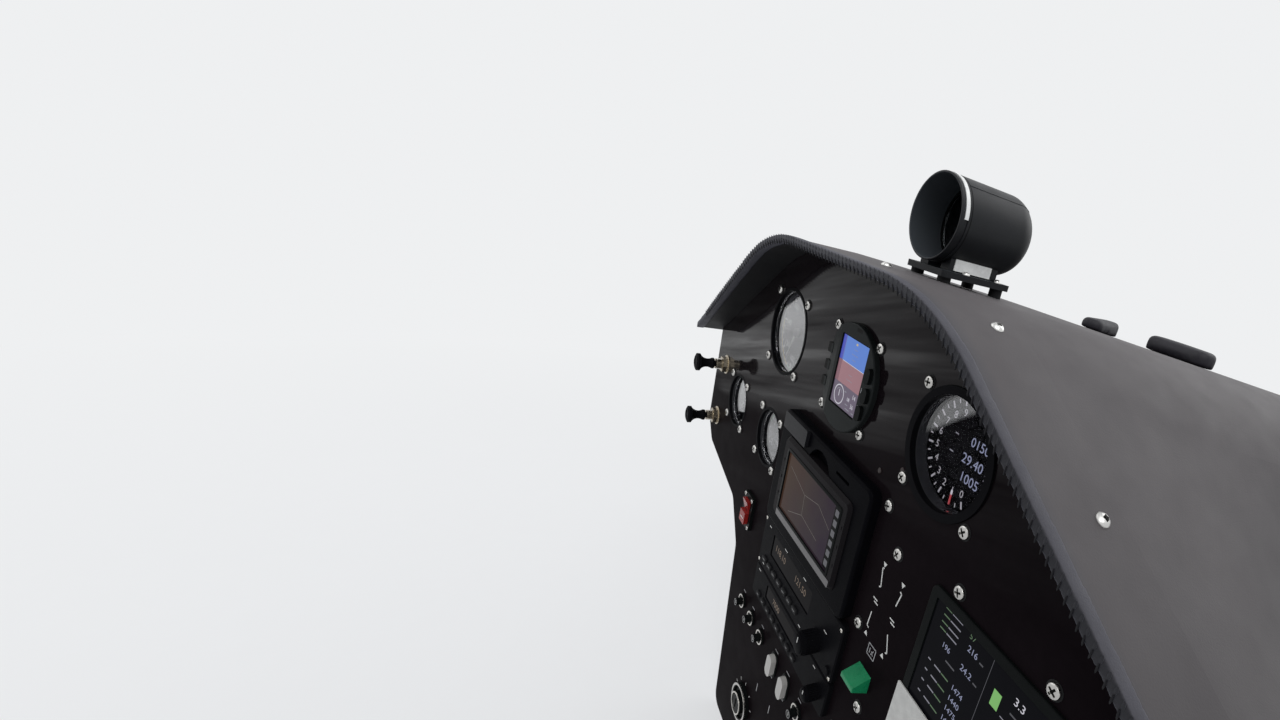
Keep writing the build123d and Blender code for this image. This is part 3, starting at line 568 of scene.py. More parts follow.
def panel_finish():
    """Gloss paint whose coat mirrors in streaks on its upper left part and fades lower down: a painted
    reflection.
    """
    look = bpy.context.scene.panel_look
    finish = Finish("gloss_panel", Specular_IOR_Level=0.005, Coat_Roughness=0.07, Coat_IOR=1.9)
    colour = dusted(finish, mottled(finish, look.panel, 0.25, 14), (0.2, 0.19, 0.18), 0.02, 1300)
    finish.feed("Base Color", finish.mix(finish.looks("Y") > 0.5, colour, (0.03, 0.031, 0.033)))
    finish.feed("Roughness", finish.noise(60, 4) * 0.2 + 0.3)
    # Painted reflection: the coat's weight follows streaks, high on the upper left and low further down.
    reflection_streaks = finish.noise(6, 4, 0.55, finish.stretched((3.4, 1, 0.2), -17))
    high = finish.along("Z") * 10 - finish.along("X") * 1.5 + (0.74 - ROW_Z * 10)
    left = finish.along("X") * -2.2 + 0.6
    reflection_level = finish.ramp(high + finish.noise(9, 2) * 0.3, (0.15, 0.02), (0.65, 1)) * left.most(0.1)
    finish.feed("Coat Weight", reflection_level * finish.ramp(reflection_streaks, (0.42, 0.08), (0.56, 0.4), (0.66, 1)))
    finish.bump(finish.noise(34, 2) * 0.8 + finish.noise(240, 2) * 0.2, 0.05, 0.5)
    return finish


def satin_metal(name, colour, roughness=0.34):
    """Brushed sheet."""
    finish = Finish(name, Metallic=1)
    finish.feed("Base Color", mottled(finish, colour, 0.08, 40))
    lines = finish.noise(900, 3, 0.6, finish.stretched((16, 1, 1)))
    finish.feed("Roughness", lines * 0.22 + (roughness - 0.11))
    finish.bump(lines, 0.02, 0.7)
    return finish


def glass_finish(name, index=1.5, tint=(1, 1, 1)):
    """Clear glass with a little uneven tint."""
    finish = Finish(name, IOR=index, Transmission_Weight=1, Roughness=0)
    haze = finish.ramp(finish.noise(70, 5, 0.65), (0.45, 0), (0.8, 0.12))
    finish.feed("Base Color", finish.mix(haze, tint, tuple(value * 0.75 for value in tint)))
    return finish


def slant(finish):
    """A value that rises across a slanted line over the altimeter's glass, towards its upper left: the coat
    it feeds is a painted reflection.
    """
    side = finish.along("Z") * 80.4 - finish.along("X") * 59.5 + (5.7 - ROW_Z * 80.4)
    return side + finish.noise(60, 3) * 0.3


def streaks(finish):
    """Long uneven streaks, as the windscreen throws them on the glass: where the coat mirrors, a painted
    reflection.
    """
    return finish.noise(7, 3, 0.5, finish.stretched((3.4, 1, 0.3), -17))


def mirroring(name, value, index, coat, low, high):
    """Clear glass under a smooth coat that mirrors more where a value is high."""
    finish = glass_finish(name, index, (0.92, 0.92, 0.95))
    finish.feed("Coat IOR", coat)
    finish.feed("Coat Roughness", 0.03)
    finish.feed("Coat Weight", finish.ramp(value(finish), low, high))
    return finish


def dial_finish(name, depth):
    """Matt black dial; what stands in front of its face, the pointer, is white."""
    finish = Finish(name, Specular_IOR_Level=0.03)
    face = mottled(finish, (0.006, 0.006, 0.007), 0.25, 90)
    pointer = finish.along("Y") < FACE_Y + (depth - 0.3) * MM
    finish.feed("Base Color", finish.mix(pointer, face, (0.3, 0.3, 0.29)))
    finish.feed("Roughness", finish.noise(200) * 0.15 + 0.55)
    grain(finish, 3400, 0.03)
    return finish


def map_finish():
    """Dim moving-map screen: brown land that turns to violet, with a few soft patches."""
    finish = Finish("map_screen", Base_Color=(0.006, 0.006, 0.008), Roughness=0.12, Specular_IOR_Level=0.04,
                    Emission_Strength=0.7)
    patches = finish.noise(26, 3, 0.5)
    side = finish.along("X") * 9 + finish.along("Z") * -4 + 0.5
    land = finish.ramp(side + patches * 0.3, (0.2, (0.062, 0.03, 0.016)), (0.55, (0.044, 0.026, 0.024)),
                       (0.95, (0.024, 0.012, 0.026)))
    fields = finish.ramp(finish.cells(60), (0.25, 0), (0.8, 0.4))
    finish.feed("Emission Color", finish.mix(fields * 0.5, land, (0.05, 0.05, 0.03)))
    return finish


def dark_screen_finish(name, colour=(0.004, 0.004, 0.006)):
    """Dark glass over a screen that hardly glows."""
    finish = Finish(name, Specular_IOR_Level=0.02, Emission_Strength=0.3)
    finish.feed("Base Color", mottled(finish, (0.004, 0.004, 0.005), 0.2, 50))
    finish.feed("Roughness", finish.ramp(finish.noise(60, 5, 0.6), (0.4, 0.07), (0.75, 0.2)))
    finish.feed("Emission Color", mottled(finish, colour, 0.2, 30))
    return finish


def compass_finish():
    """Satin black, with a paler grey inside the tube as painted light."""
    look = bpy.context.scene.panel_look
    finish = Finish("compass_black", Specular_IOR_Level=0.15)
    skin = dusted(finish, mottled(finish, look.compass, 0.15, 35), (0.3, 0.3, 0.3), 0.05)
    # Painted light: the inside of the tube is paler grey than the black outside.
    finish.feed("Base Color", finish.lined(COMPASS_AXIS, skin, (0.05, 0.057, 0.064)))
    finish.feed("Roughness", finish.noise(60, 4) * 0.2 + 0.3)
    grain(finish, 3000, 0.03)
    return finish


def colour_setting(name, description, default):
    return FloatVectorProperty(name=name, description=description, subtype="COLOR", size=3, default=default)


def size_setting(name, description, default, low, high):
    text = f"{description}, in millimetres"
    return FloatProperty(name=name, description=text, default=default, min=low, max=high)


class LookSettings(bpy.types.PropertyGroup):
    """Colours of the panel's main surfaces."""

    coaming: colour_setting("Coaming", "Grained skin of the coaming", (0.08, 0.073, 0.078))
    leather: colour_setting("Rim leather", "Leather round the coaming's edge", (0.05, 0.049, 0.058))
    panel: colour_setting("Panel", "Gloss paint of the panel", (0.0065, 0.0046, 0.0056))
    compass: colour_setting("Compass", "Compass tube and base", (0.014, 0.015, 0.017))


class SizeSettings(bpy.types.PropertyGroup):
    """Sizes of the small pieces that finish the panel."""

    screw_radius: size_setting("Screw head radius", "Radius of the instrument and panel screws", 4, 2, 6)
    stitch_pitch: size_setting("Stitch pitch", "Distance from one stitch of the rim to the next", 5, 3, 12)
    thread: size_setting("Thread", "Thickness of the rim's thread", 1.4, 0.5, 3)


class StageSettings(bpy.types.PropertyGroup):
    """Camera and light."""

    lens: FloatProperty(name="Lens", description="Length on a 36 mm sensor", default=15.5, unit="CAMERA")
    sky: FloatProperty(name="Surround", description="Strength of the light all round", default=0.45, min=0)
    backdrop: colour_setting("Backdrop", "Colour of the floor and of all beyond it", (0.86, 0.87, 0.88))


def settings():
    scene = bpy.context.scene
    return scene.panel_look, scene.panel_sizes, scene.panel_stage


# How each finish is made: its function, its material's name and the function's other values
FINISHES = {
    "coaming": (coaming_finish,),
    "leather": (leather_finish,),
    "panel": (panel_finish,),
    "compass": (compass_finish,),
    "dial": (dial_finish, "dial_black", 11.2),
    "lit_dial": (dial_finish, "lit_dial_black", 11.6),
    "small_dial": (dial_finish, "small_dial_black", 12.6),
    "map": (map_finish,),
    "metal": (satin_metal, "satin_sheet", (0.55, 0.56, 0.57)),
    "case": (case_finish,),
    "bezel": (moulded, "bezel_black", (0.006, 0.007, 0.007), 0.3, 0.03, 3200, 0.03),
    "display": (display_finish,),
    "cradle": (moulded, "cradle_black", (0.003, 0.003, 0.004), 0.3, 0.01, 3000, 0.03),
    "cover": (moulded, "cover_black", (0.012, 0.012, 0.014), 0.24, 0.08, 3000, 0.03),
    "unit": (moulded, "unit_grey", (0.007, 0.006, 0.007), 0.3, 0.03, 3600, 0.02, 0.12),
    # Pale grey of the painted highlight along the navigation unit's bottom edge.
    "bottom_highlight": (moulded, "dull_silver", (0.09, 0.085, 0.088), 0.3, 0.5, 3600, 0.02, 0.12),
    "glass": (mirroring, "cover_glass", streaks, 1.3, 2, (0.4, 0.35), (0.6, 1)),
    # Altimeter glass whose coat mirrors on the upper left only: a painted reflection.
    "shaded_glass": (mirroring, "shaded_glass", slant, 1.04, 2.2, (0.1, 0), (0.45, 0.6)),
    "lens": (glass_finish, "compass_glass", 1.3, (0.3, 0.32, 0.34)),
    "screen": (dark_screen_finish, "dark_screen"),
    "chrome": (plated, "bright_screw", (0.5, 0.49, 0.47), 0.24),
    "nut": (plated, "bright_nut", (0.6, 0.58, 0.54), 0.22),
    "brass": (plated, "dull_brass", (0.4, 0.35, 0.27), 0.26),
    "white": (printed, "white_print", (0.62, 0.62, 0.6)),
    "grey": (printed, "grey_print", (0.2, 0.2, 0.2)),
    "red": (moulded, "switch_red", (0.24, 0.012, 0.01), 0.25, 0.3, 2600, 0.03),
    "green": (moulded, "switch_green", (0.008, 0.2, 0.08), 0.28, 0.3, 2600, 0.03),
    "ivory": (moulded, "switch_white", (0.42, 0.41, 0.39), 0.3, 0.5, 2600, 0.03, 0.08),
    "card": (printed, "blank_card", (0.5, 0.5, 0.48), 0.55),
    "strip": (printed, "pale_strip", (0.85, 0.86, 0.84), 0.35),
    "rubber": (moulded, "black_rubber", (0.008, 0.008, 0.009), 0.7, 0.2, 1800, 0.08),
    "pad": (moulded, "pad_black", (0.014, 0.013, 0.018), 0.55, 0.3, 1500, 0.1),
    "thread": (moulded, "rim_thread", (0.005, 0.005, 0.007), 0.6, 0.2, 3000, 0.05),
    "dome": (plated, "pale_dome", (0.6, 0.595, 0.58), 0.3),
    # Black, also used as painted shade in the screw recesses and the display's card slot.
    "black_and_painted_shade": (moulded, "recess_black", (0.002, 0.002, 0.002), 0.6, 0.1),
    "window": (dark_screen_finish, "radio_window", (0.005, 0.003, 0.002)),
    "card_black": (moulded, "compass_card", (0.01, 0.01, 0.011), 0.5),
    "grey_light": (printed, "pale_grey_print", (0.3, 0.3, 0.31)),
    "green_print": (printed, "green_print", (0.02, 0.3, 0.06)),
    "yellow_print": (printed, "yellow_print", (0.55, 0.4, 0.02)),
    "red_print": (printed, "red_print", (0.45, 0.02, 0.02)),
    "lamp": (moulded, "lamp_lens", (0.02, 0.012, 0.012), 0.3),
    "sky": (glowing, "display_sky", (0.055, 0.17, 0.58)),
    "sky_dark": (glowing, "display_sky_dark", (0.012, 0.03, 0.4)),
    "ground": (glowing, "display_ground", (0.27, 0.115, 0.14)),
    "ground_dark": (glowing, "display_ground_dark", (0.17, 0.06, 0.085)),
    "dusk": (glowing, "display_dusk", (0.08, 0.055, 0.1)),
    "lit_white": (glowing, "lit_white", (0.55, 0.54, 0.6)),
    "lit_soft": (glowing, "lit_soft", (0.34, 0.33, 0.36)),
    "lit_grey": (glowing, "lit_grey", (0.2, 0.2, 0.24)),
    "lit_dim": (glowing, "lit_dim", (0.045, 0.045, 0.055)),
    "lit_blue": (glowing, "lit_lavender", (0.22, 0.24, 0.36)),
    "lit_red": (glowing, "lit_red", (0.4, 0.05, 0.06)),
    "lit_green": (glowing, "lit_green", (0.16, 0.42, 0.1)),
    "lit_dim_green": (glowing, "lit_dim_green", (0.06, 0.12, 0.05)),
    "lit_yellow": (glowing, "lit_yellow", (0.5, 0.4, 0.2)),
    "lit_amber": (glowing, "lit_amber", (0.09, 0.05, 0.02)),
    "lit_road": (glowing, "lit_road", (0.06, 0.045, 0.036)),
}
MADE = {}


def finish_of(name):
    """A finish, made the first time it is asked for."""
    if name not in MADE:
        make, *values = FINISHES[name]
        MADE[name] = make(*values)
    return MADE[name]


def coat(thing, finish):
    """Gives a whole object one finish."""
    thing.data.materials.clear()
    thing.data.materials.append(finish_of(finish).material)


NODE_FINISHES = {
    "coaming": ["coaming"],
    "leather": ["coaming_lip"],
    "panel": ["panel_plate"],
    "metal": ["left_bracket", "right_bracket", "coaming_flange"],
    "case": [
        "airspeed_case", "altimeter_case", "left_gauge_case", "middle_gauge_case", "radio", "transponder",
        "radio_knobs", "upper_pull_knob", "lower_pull_knob",
    ],
    "display": ["flight_display"],
    "bezel": ["flight_display_buttons", "engine_display", "red_rocker_frame", "breakers", "key_switch"],
    "glass": ["airspeed_glass", "left_gauge_glass", "middle_gauge_glass"],
    "shaded_glass": ["altimeter_glass"],
    "lens": ["compass_lens"],
    "dial": ["airspeed_dial"],
    "lit_dial": ["altimeter_dial"],
    "small_dial": ["left_gauge_dial", "middle_gauge_dial"],
    "screen": ["flight_display_screen", "engine_screen"],
    "map": ["navigation_screen"],
    "unit": ["navigation_unit"],
    "cradle": ["cradle"],
    "cover": ["card_cover"],
    "red": ["red_rocker"],
    "green": ["green_rocker"],
    "ivory": ["white_switches"],
    "brass": ["pull_knob_nuts"],
    "card": ["card"],
    "compass": ["compass_case", "compass_saddle", "compass_base"],
    "strip": ["compass_strip", "compass_label"],
    "rubber": ["compass_feet"],
    "pad": ["demister_pads"],
}


class PANEL_OT_finishes(bpy.types.Operator):
    """Gives every solid its finish"""

    bl_idname = "panel.finishes"
    bl_label = "Solids' finishes"

    def execute(self, context):
        for name, nodes in NODE_FINISHES.items():
            for node in nodes:
                coat(NODES[node], name)
        bare = [node for node, solid in NODES.items() if not solid.data.materials]
        if bare:
            raise RuntimeError(f"no finish for {bare}")
        return {"FINISHED"}


# Rim of the coaming: stuffed leather, whip-stitched along its inner edge

RIM_HALF = 0.306
RIM_STEPS = 1200
RIM_LOOK_Y = FACE_Y - 29 * MM
SEAM_INSET = 2.6 * MM
SEAM_HOLD = 1.1 * MM
FEWEST_STITCHES = 60
CLOTH = {
    "quality": 4, "mass": 0.1, "tension_stiffness": 12, "compression_stiffness": 12, "shear_stiffness": 4,
    "bending_stiffness": 0.2, "use_pressure": True, "uniform_pressure_force": 4, "vertex_group_mass": "held",
}
CLOTH_FRAMES = 12


def stuffed(name, node, finish, cell, swell, held=None):
    """Soft copy of a CAD solid: remeshed, puffed up as cloth between its held points, and smoothed."""
    copy = bmesh.new()
    copy.from_mesh(NODES[node].data)
    bmesh.ops.remove_doubles(copy, verts=copy.verts, dist=1e-6)
    bmesh.ops.recalc_face_normals(copy, faces=copy.faces)
    piece = object_of(name, copy)
    remesh = piece.modifiers.new("cells", "REMESH")
    remesh.mode = "VOXEL"
    remesh.voxel_size = cell * MM
    smooth = piece.modifiers.new("rounding", "SMOOTH")
    smooth.factor = 0.5
    smooth.iterations = 6
    bake(piece)
    puff(piece, swell, held)
    coat(piece, finish)
    piece.data.shade_smooth()
    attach(piece, "root")
    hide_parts(node)


def bake(piece):
    """Applies a piece's modifiers to its mesh."""
    finished = bpy.data.meshes.new_from_object(piece.evaluated_get(bpy.context.evaluated_depsgraph_get()))
    piece.modifiers.clear()
    old = piece.data
    piece.data = finished
    bpy.data.meshes.remove(old)


def puff(piece, swell, held):
    """Short cloth simulation under pressure; no point moves further than the swell, in millimetres."""
    rest = [vert.co.copy() for vert in piece.data.vertices]
    pins = piece.vertex_groups.new(name="held")
    for index, point in enumerate(rest):
        weight = held(point) if held else 0
        if weight:
            pins.add([index], weight, "REPLACE")
    cloth = piece.modifiers.new("cloth", "CLOTH")
    for name, value in CLOTH.items():
        setattr(cloth.settings, name, value)
    cloth.settings.effector_weights.gravity = 0
    cloth.collision_settings.use_collision = False
    scene = bpy.context.scene
    for step in range(1, CLOTH_FRAMES + 1):
        scene.frame_set(step)
    bake(piece)
    scene.frame_set(1)
    for vert, start in zip(piece.data.vertices, rest):
        move = vert.co - start
        if move.length > swell * MM:
            vert.co = start + move.normalized() * swell * MM


def rim_stations(pitch):
    """Evenly spaced places along the rim: its middle, the way along it and the way out of it."""
    tree = surface_of("coaming_lip")
    line = []
    for step in range(RIM_STEPS + 1):
        x = RIM_HALF * (2 * step / RIM_STEPS - 1)
        top = tree.ray_cast(Vector((x, RIM_LOOK_Y, 1)), Vector((0, 0, -1)))[0]
        low = tree.ray_cast(Vector((x, RIM_LOOK_Y, -1)), Vector((0, 0, 1)))[0]
        if top is None or low is None:
            continue
        middle = (top + low) / 2
        aft = tree.ray_cast(Vector((x, -1, middle.z)), Vector((0, 1, 0)))[0]
        if aft is not None:
            line.append(Vector((x, aft.y, middle.z)))
    stations = []
    run = 0
    for last, point in zip(line, line[1:]):
        run += (point - last).length
        if run >= pitch * MM:
            run -= pitch * MM
            way = (point - last).normalized()
            out = Vector((-way.z, 0, way.x)).normalized()
            stations.append((point, way, out))
    return stations


def framed(point, along, out):
    """Place with +X along one way and +Z out along another."""
    along = along.normalized()
    out = (out - along * out.dot(along)).normalized()
    side = out.cross(along)
    turn = Matrix((along, side, out)).transposed().to_4x4()
    return Matrix.Translation(point) @ turn


class PANEL_OT_rim(bpy.types.Operator):
    """Padded leather rim of the coaming, with its whip stitches"""

    bl_idname = "panel.rim"
    bl_label = "Coaming rim"

    def execute(self, context):
        _, sizes, _ = settings()
        stations = rim_stations(sizes.stitch_pitch)
        if len(stations) < FEWEST_STITCHES:
            raise RuntimeError("the rim has too few stitches")
        inner = KDTree(len(stations))
        for index, (point, _, out) in enumerate(stations):
            inner.insert(point - out * SEAM_INSET, index)
        inner.balance()

        def held(point):
            return 1 if inner.find(point)[2] < SEAM_HOLD else 0

        stuffed("coaming_rim", "coaming_lip", "leather", 1, 0.9, held)
        stitches = Piece("rim_stitches", "padded_trim")
        strand = pebble(4.4, sizes.thread * 1.2, sizes.thread * 0.4, 8)
        knot = pebble(5.2, sizes.thread * 0.75, sizes.thread * 0.8, 8)
        aft = Vector((0, -1, 0))
        for count, (point, way, out) in enumerate(stations):
            jitter = sin(count * 2.4) * 0.5 + sin(count * 5.1) * 0.5
            slant = out - way * (0.62 + 0.16 * jitter)
            outer = point + out * 1.4 * MM - way * 0.9 * MM
            stitches.add("leather", strand, framed(outer, slant, aft))
            lower = point - out * (2.2 + 0.3 * jitter) * MM + way * 1.2 * MM
            stitches.add("thread", knot, framed(lower, slant + aft * 0.1, aft))
        stitches.done(angle=radians(60))
        return {"FINISHED"}


class PANEL_OT_pads(bpy.types.Operator):
    """Stuffed pads by the front edge of the coaming"""

    bl_idname = "panel.pads"
    bl_label = "Front pads"

    def execute(self, context):
        stuffed("front_pads", "demister_pads", "pad", 1.8, 1)
        return {"FINISHED"}


# Screws

LARGE_SQUARE = 62.9
SMALL_SQUARE = 47.2
# To the side and up from the upper row, with the side of the screw square
SQUARES = [
    (-122, 0, LARGE_SQUARE), (122, -2, LARGE_SQUARE), (0, 0, LARGE_SQUARE),
    (-217, -103, SMALL_SQUARE), (-121.5, -103, SMALL_SQUARE),
]
LOOSE_SCREWS = [
    (85, -57), (107, -79), (87, -148), (111, -200), (90, -241),
    (164, -64.5), (234, -64.5), (234, -169.5),
]
COAMING_SCREWS_X = (-219, -122, 0, 122, 219)


def square_corners(x, up, wide, high):
    """Corners of a rectangle round its middle."""
    return [(x + side * wide / 2, up + rise * high / 2) for side in (-1, 1) for rise in (-1, 1)]


class PANEL_OT_screws(bpy.types.Operator):
    """Pan-head screws of the instruments and of the panel"""

    bl_idname = "panel.screws"
    bl_label = "Panel screws"

    def execute(self, context):
        _, sizes, _ = settings()
        piece = Piece("panel_screws", "plated_nut")
        head = screw_head(sizes.screw_radius, 2.1)
        shank = disc(1.9, 5.2, steps=12)
        # A dark rubber washer under each head; its dark band round the head is also painted shade.
        washer = ring(sizes.screw_radius + 0.9, 2.4, 0.3, 32)
        # Painted shade: a black disc at the bottom of each cross recess.
        black_and_painted_shade = disc(2.3, 0.1, steps=12)
        places = [corner for x, up, side in SQUARES for corner in square_corners(x, up, side, side)]
        places += LOOSE_SCREWS
        for count, (x, up) in enumerate(places):
            piece.put("chrome", head, x, up, 0.2, count * 37)
            piece.put("rubber", washer, x, up, -0.05)
            piece.put("black_and_painted_shade", black_and_painted_shade, x, up, 1.05)
            piece.put("chrome", shank, x, up, -5)
        piece.done()
        return {"FINISHED"}


class PANEL_OT_coaming_screws(bpy.types.Operator):
    """Domed screws with a square recess along the coaming"""

    bl_idname = "panel.coaming_screws"
    bl_label = "Coaming screws"

    def execute(self, context):
        tree = surface_of("coaming")
        piece = Piece("coaming_screws", "plated_nut")
        dome = turned(
            [(0, 0), (4, 0), (4, 0.4), (3.7, 0.9), (3, 1.7), (2.4, 2.1), (1.2, 2.5), (0, 2.6)], 40
        )
        head = cut_by(dome, lifted(block(2.9, 2.9, 2), 1.2))
        # Painted shade: a black square at the bottom of the square recess.
        recess_shade = lifted(block(2.8, 2.8, 0.1), 1.25)
        shank = lifted(disc(1.9, 7, steps=12), -6)
        for count, x in enumerate(COAMING_SCREWS_X):
            point, normal = seat(tree, x * MM, FACE_Y + 8 * MM, 6)
            place = standing_on(point, normal, count * 0.9)
            piece.add("dome", head, place)
            piece.add("black_and_painted_shade", recess_shade, place)
            piece.add("nut", shank, place)
        piece.done()
        return {"FINISHED"}


# Dials

# To the side, up, radius of the dial, depth of its face behind the panel's
DIALS = {
    "airspeed": (-122, 0, 36, 11.2),
    "altimeter": (122, -2, 33.4, 11.6),
    "left_gauge": (-217, -103, 26, 12.6),
    "middle_gauge": (-121.5, -103, 26, 12.6),
}


def pointing(piece, finish, shape, x, up, aft, angle, reach):
    """Adds a shape at a distance from a place on the panel, turned to point away from it."""
    piece.add(finish, shape, on_panel(x, up, aft, angle - 90) @ Matrix.Translation((0, reach * MM, 0)))


def dial_scale(piece, dial, start, stop, figures, between, finish, height=0.14):
    """Ticks along a dial's edge between two angles, with a figure at each long one."""
    x, up, radius, depth = DIALS[dial]
    steps = (len(figures) - 1) * between
    for step in range(steps + 1):
        angle = start + (stop - start) * step / steps
        major = step % between == 0
        length = radius * (0.13 if major else 0.075)
        tick = block(radius * (0.036 if major else 0.022), length, 0.12)
        pointing(piece, finish, tick, x, up, -depth, angle, radius * 0.955 - length / 2)
        if major and figures[step // between]:
            side, rise = cos(radians(angle)) * radius * 0.7, sin(radians(angle)) * radius * 0.7
            piece.put(finish, letters(figures[step // between], radius * height), x + side, up + rise, -depth)


def dial_arc(piece, dial, share, width, start, stop, finish):
    """Coloured band on a dial between two angles."""
    x, up, radius, depth = DIALS[dial]
    piece.put(finish, arc_bar(radius * share, width, start, stop, 0.08), x, up, -depth)


def dial_cap(piece, dial):
    """Cap over a pointer's hub."""
    x, up, _, depth = DIALS[dial]
    hub = turned([(0, 0), (4.3, 0), (4.3, 2.6), (3.6, 3.4), (1.2, 3.6), (0, 3.6)], 24)
    piece.put("case", hub, x, up, -depth)


class PANEL_OT_dials(bpy.types.Operator):
    """Figures, ticks, bands and pointer caps of the round instruments"""

    bl_idname = "panel.dials"
    bl_label = "Dials"

    def execute(self, context):
        self.airspeed()
        self.altimeter()
        self.gauge("left_gauge", ["0", "", "1", "", "2"], 220, -40)
        self.gauge("middle_gauge", ["0", "2", "4", "6", "8"], 215, -35)
        return {"FINISHED"}

    def airspeed(self):
        piece = Piece("airspeed_marks", "dial_face")
        figures = ["", "40", "60", "80", "100", "120", "140", "160"]
        dial_scale(piece, "airspeed", 90, -235, figures, 4, "grey_light")
        dial_arc(piece, "airspeed", 0.985, 1.1, -110, 43, "green_print")
        dial_arc(piece, "airspeed", 0.985, 1.1, -188, -110, "yellow_print")
        dial_arc(piece, "airspeed", 0.94, 0.9, -20, 60, "grey_light")
        dial_cap(piece, "airspeed")
        piece.done()

    def altimeter(self):
        piece = Piece("altimeter_marks", "dial_face")
        dial_scale(piece, "altimeter", -67, -252.4, "0123456789", 2, "lit_soft", 0.135)
        x, up, radius, depth = DIALS["altimeter"]
        rows = [("0150", 12, 9.6, 5.6), ("29.40", 9.8, -1.4, 5.9), ("1005", 11.4, -12, 5.9)]
        rows = [(text, x + side, up + rise, size) for text, side, rise, size in rows]
        write(piece, -depth, "lit_blue", rows)
        rows = [(-9.5, -2.2, 3.4), (24, -3, 4.6), (-9, 9, 3), (24, -6, 5)]
        rows = [(x + side, up + rise, wide) for side, rise, wide in rows]
        dashes(piece, -depth, "lit_grey", 0.7, rows, 0.1)
        pointer = -87
        pointing(piece, "lit_red", block(1.2, radius * 0.2, 0.4), x, up, -depth, pointer, radius * 0.86)
        pointing(piece, "lit_white", block(1.3, radius * 0.08, 0.4), x, up, -depth, pointer, radius * 0.73)
        piece.done()

    def gauge(self, dial, figures, start, stop):
        piece = Piece(f"{dial}_marks", "dial_face")
        dial_scale(piece, dial, start, stop, figures, 5, "grey_light", 0.17)
        third = (start - stop) / 3
        dial_arc(piece, dial, 0.985, 0.9, stop + third, start - third * 0.6, "green_print")
        dial_arc(piece, dial, 0.985, 0.9, stop + third * 0.3, stop + third, "yellow_print")
        dial_arc(piece, dial, 0.985, 0.9, stop, stop + third * 0.3, "red_print")
        dial_cap(piece, dial)
        piece.done()


# Displays


def area(piece, aft, finish, left, right, low, high, thick=0.08):
    """Thin plate between two sides and two heights on the panel."""
    piece.put(finish, block(right - left, high - low, thick), (left + right) / 2, (low + high) / 2, aft)


def dashes(piece, aft, finish, high, rows, thick=0.08):
    """Level bars from rows of middle, height on the panel and width."""
    for x, up, wide in rows:
        piece.put(finish, block(wide, high, thick), x, up, aft)


def strokes(piece, aft, finish, wide, rows, thick=0.1):
    """Straight marks from rows of start and stop, each to the side and up."""
    for left, low, right, high in rows:
        way = Vector((right - left, high - low))
        turn = degrees(atan2(way.y, way.x))
        piece.put(finish, block(way.length, wide, thick), (left + right) / 2, (low + high) / 2, aft, turn)


def write(piece, aft, finish, rows, thick=0.1):
    """Figures from rows of text, middle, height on the panel and size."""
    for text, x, up, height in rows:
        piece.put(finish, letters(text, height, thick), x, up, aft)


FLIGHT_FIGURES = [("14", 17.5, -9.6, 3.4), ("08", 10.6, -13.4, 2.6), ("36", 17.2, -16.6, 3.2)]
FLIGHT_DASHES = [(9.5, -17.6, 4), (12, -20.4, 6), (20, -20.6, 3), (4.6, -9.4, 3)]
FLIGHT_PITCH = [(6, 22, 5), (6, 18.2, 9), (6, 14.4, 5), (6, 3.2, 5), (6, -0.6, 9)]
FLIGHT_LETTER = [(26, 1.3, 26, -2.3), (26.2, -0.5, 28.2, 1.2), (26.2, -0.5, 28.2, -2.2)]
FLIGHT_GATE = [(25.4, -11.6, 25.4, -14.4), (27.2, -11.6, 27.2, -14.4), (25.4, -11.6, 27.2, -11.6)]


class PANEL_OT_flight_display(bpy.types.Operator):
    """Lit picture, marks and slot of the round flight display"""

    bl_idname = "panel.flight_display"
    bl_label = "Flight display"

    def execute(self, context):
        self.picture()
        self.marks()
        return {"FINISHED"}

    def picture(self):
        screen = Piece("flight_picture", "screen")
        low, bar, top = 3.5, 3.58, 3.66
        left, tape, right = -14.8, -10.2, 23.4
        for finish, down, rise in (("sky", 10.6, 28.6), ("ground", -5.6, 10.5)):
            area(screen, low, finish, left, right, down, rise)
            area(screen, bar, f"{finish}_dark", left, tape, down, rise, 0.06)
        area(screen, low, "dusk", left, right, -22.6, -5.7)
        area(screen, top, "lit_grey", tape, tape + 0.3, 10.6, 28.6, 0.04)
        area(screen, top, "lit_white", tape + 1.2, right, 10.3, 10.7, 0.04)
        screen.put("lit_white", ring(7.4, 0.75, 0.08, 40), -4, -14.2, bar)
        screen.put("lit_grey", arc_bar(4.6, 0.5, 30, 150, 0.08), -4, -14.2, bar)
        strokes(screen, bar, "lit_white", 0.7, [(-4, -15.4, -4, -10.6)])
        write(screen, bar, "lit_white", FLIGHT_FIGURES, 0.08)
        dashes(screen, bar, "lit_grey", 0.7, FLIGHT_DASHES)
        dashes(screen, bar, "lit_grey", 0.3, FLIGHT_PITCH)
        area(screen, bar, "lit_yellow", 4.8, 7.2, 25.4, 26.8)
        screen.done()

    def marks(self):
        marks = Piece("flight_display_marks", "cradle_black")
        marks.put("grey_light", ring(1.5, 0.5, 0.1, 20), 27, 11.4, 4.45)
        strokes(marks, 4.45, "grey_light", 0.45, FLIGHT_LETTER)
        strokes(marks, 4.45, "grey_light", 0.4, FLIGHT_GATE)
        # Painted shade: a thin black plate where the card slot opens.
        marks.put("black_and_painted_shade", rounded(8.4, 2.6, 0.12, 1.1), 6.7, 36.4, 4.42)
        marks.done()


MAP_ROADS = [
    (-40, -92, -8, -101), (-8, -101, 16, -96), (16, -96, 38, -104),
    (-30, -128, -6, -118), (-6, -118, 24, -122), (-8, -101, -6, -118),
]


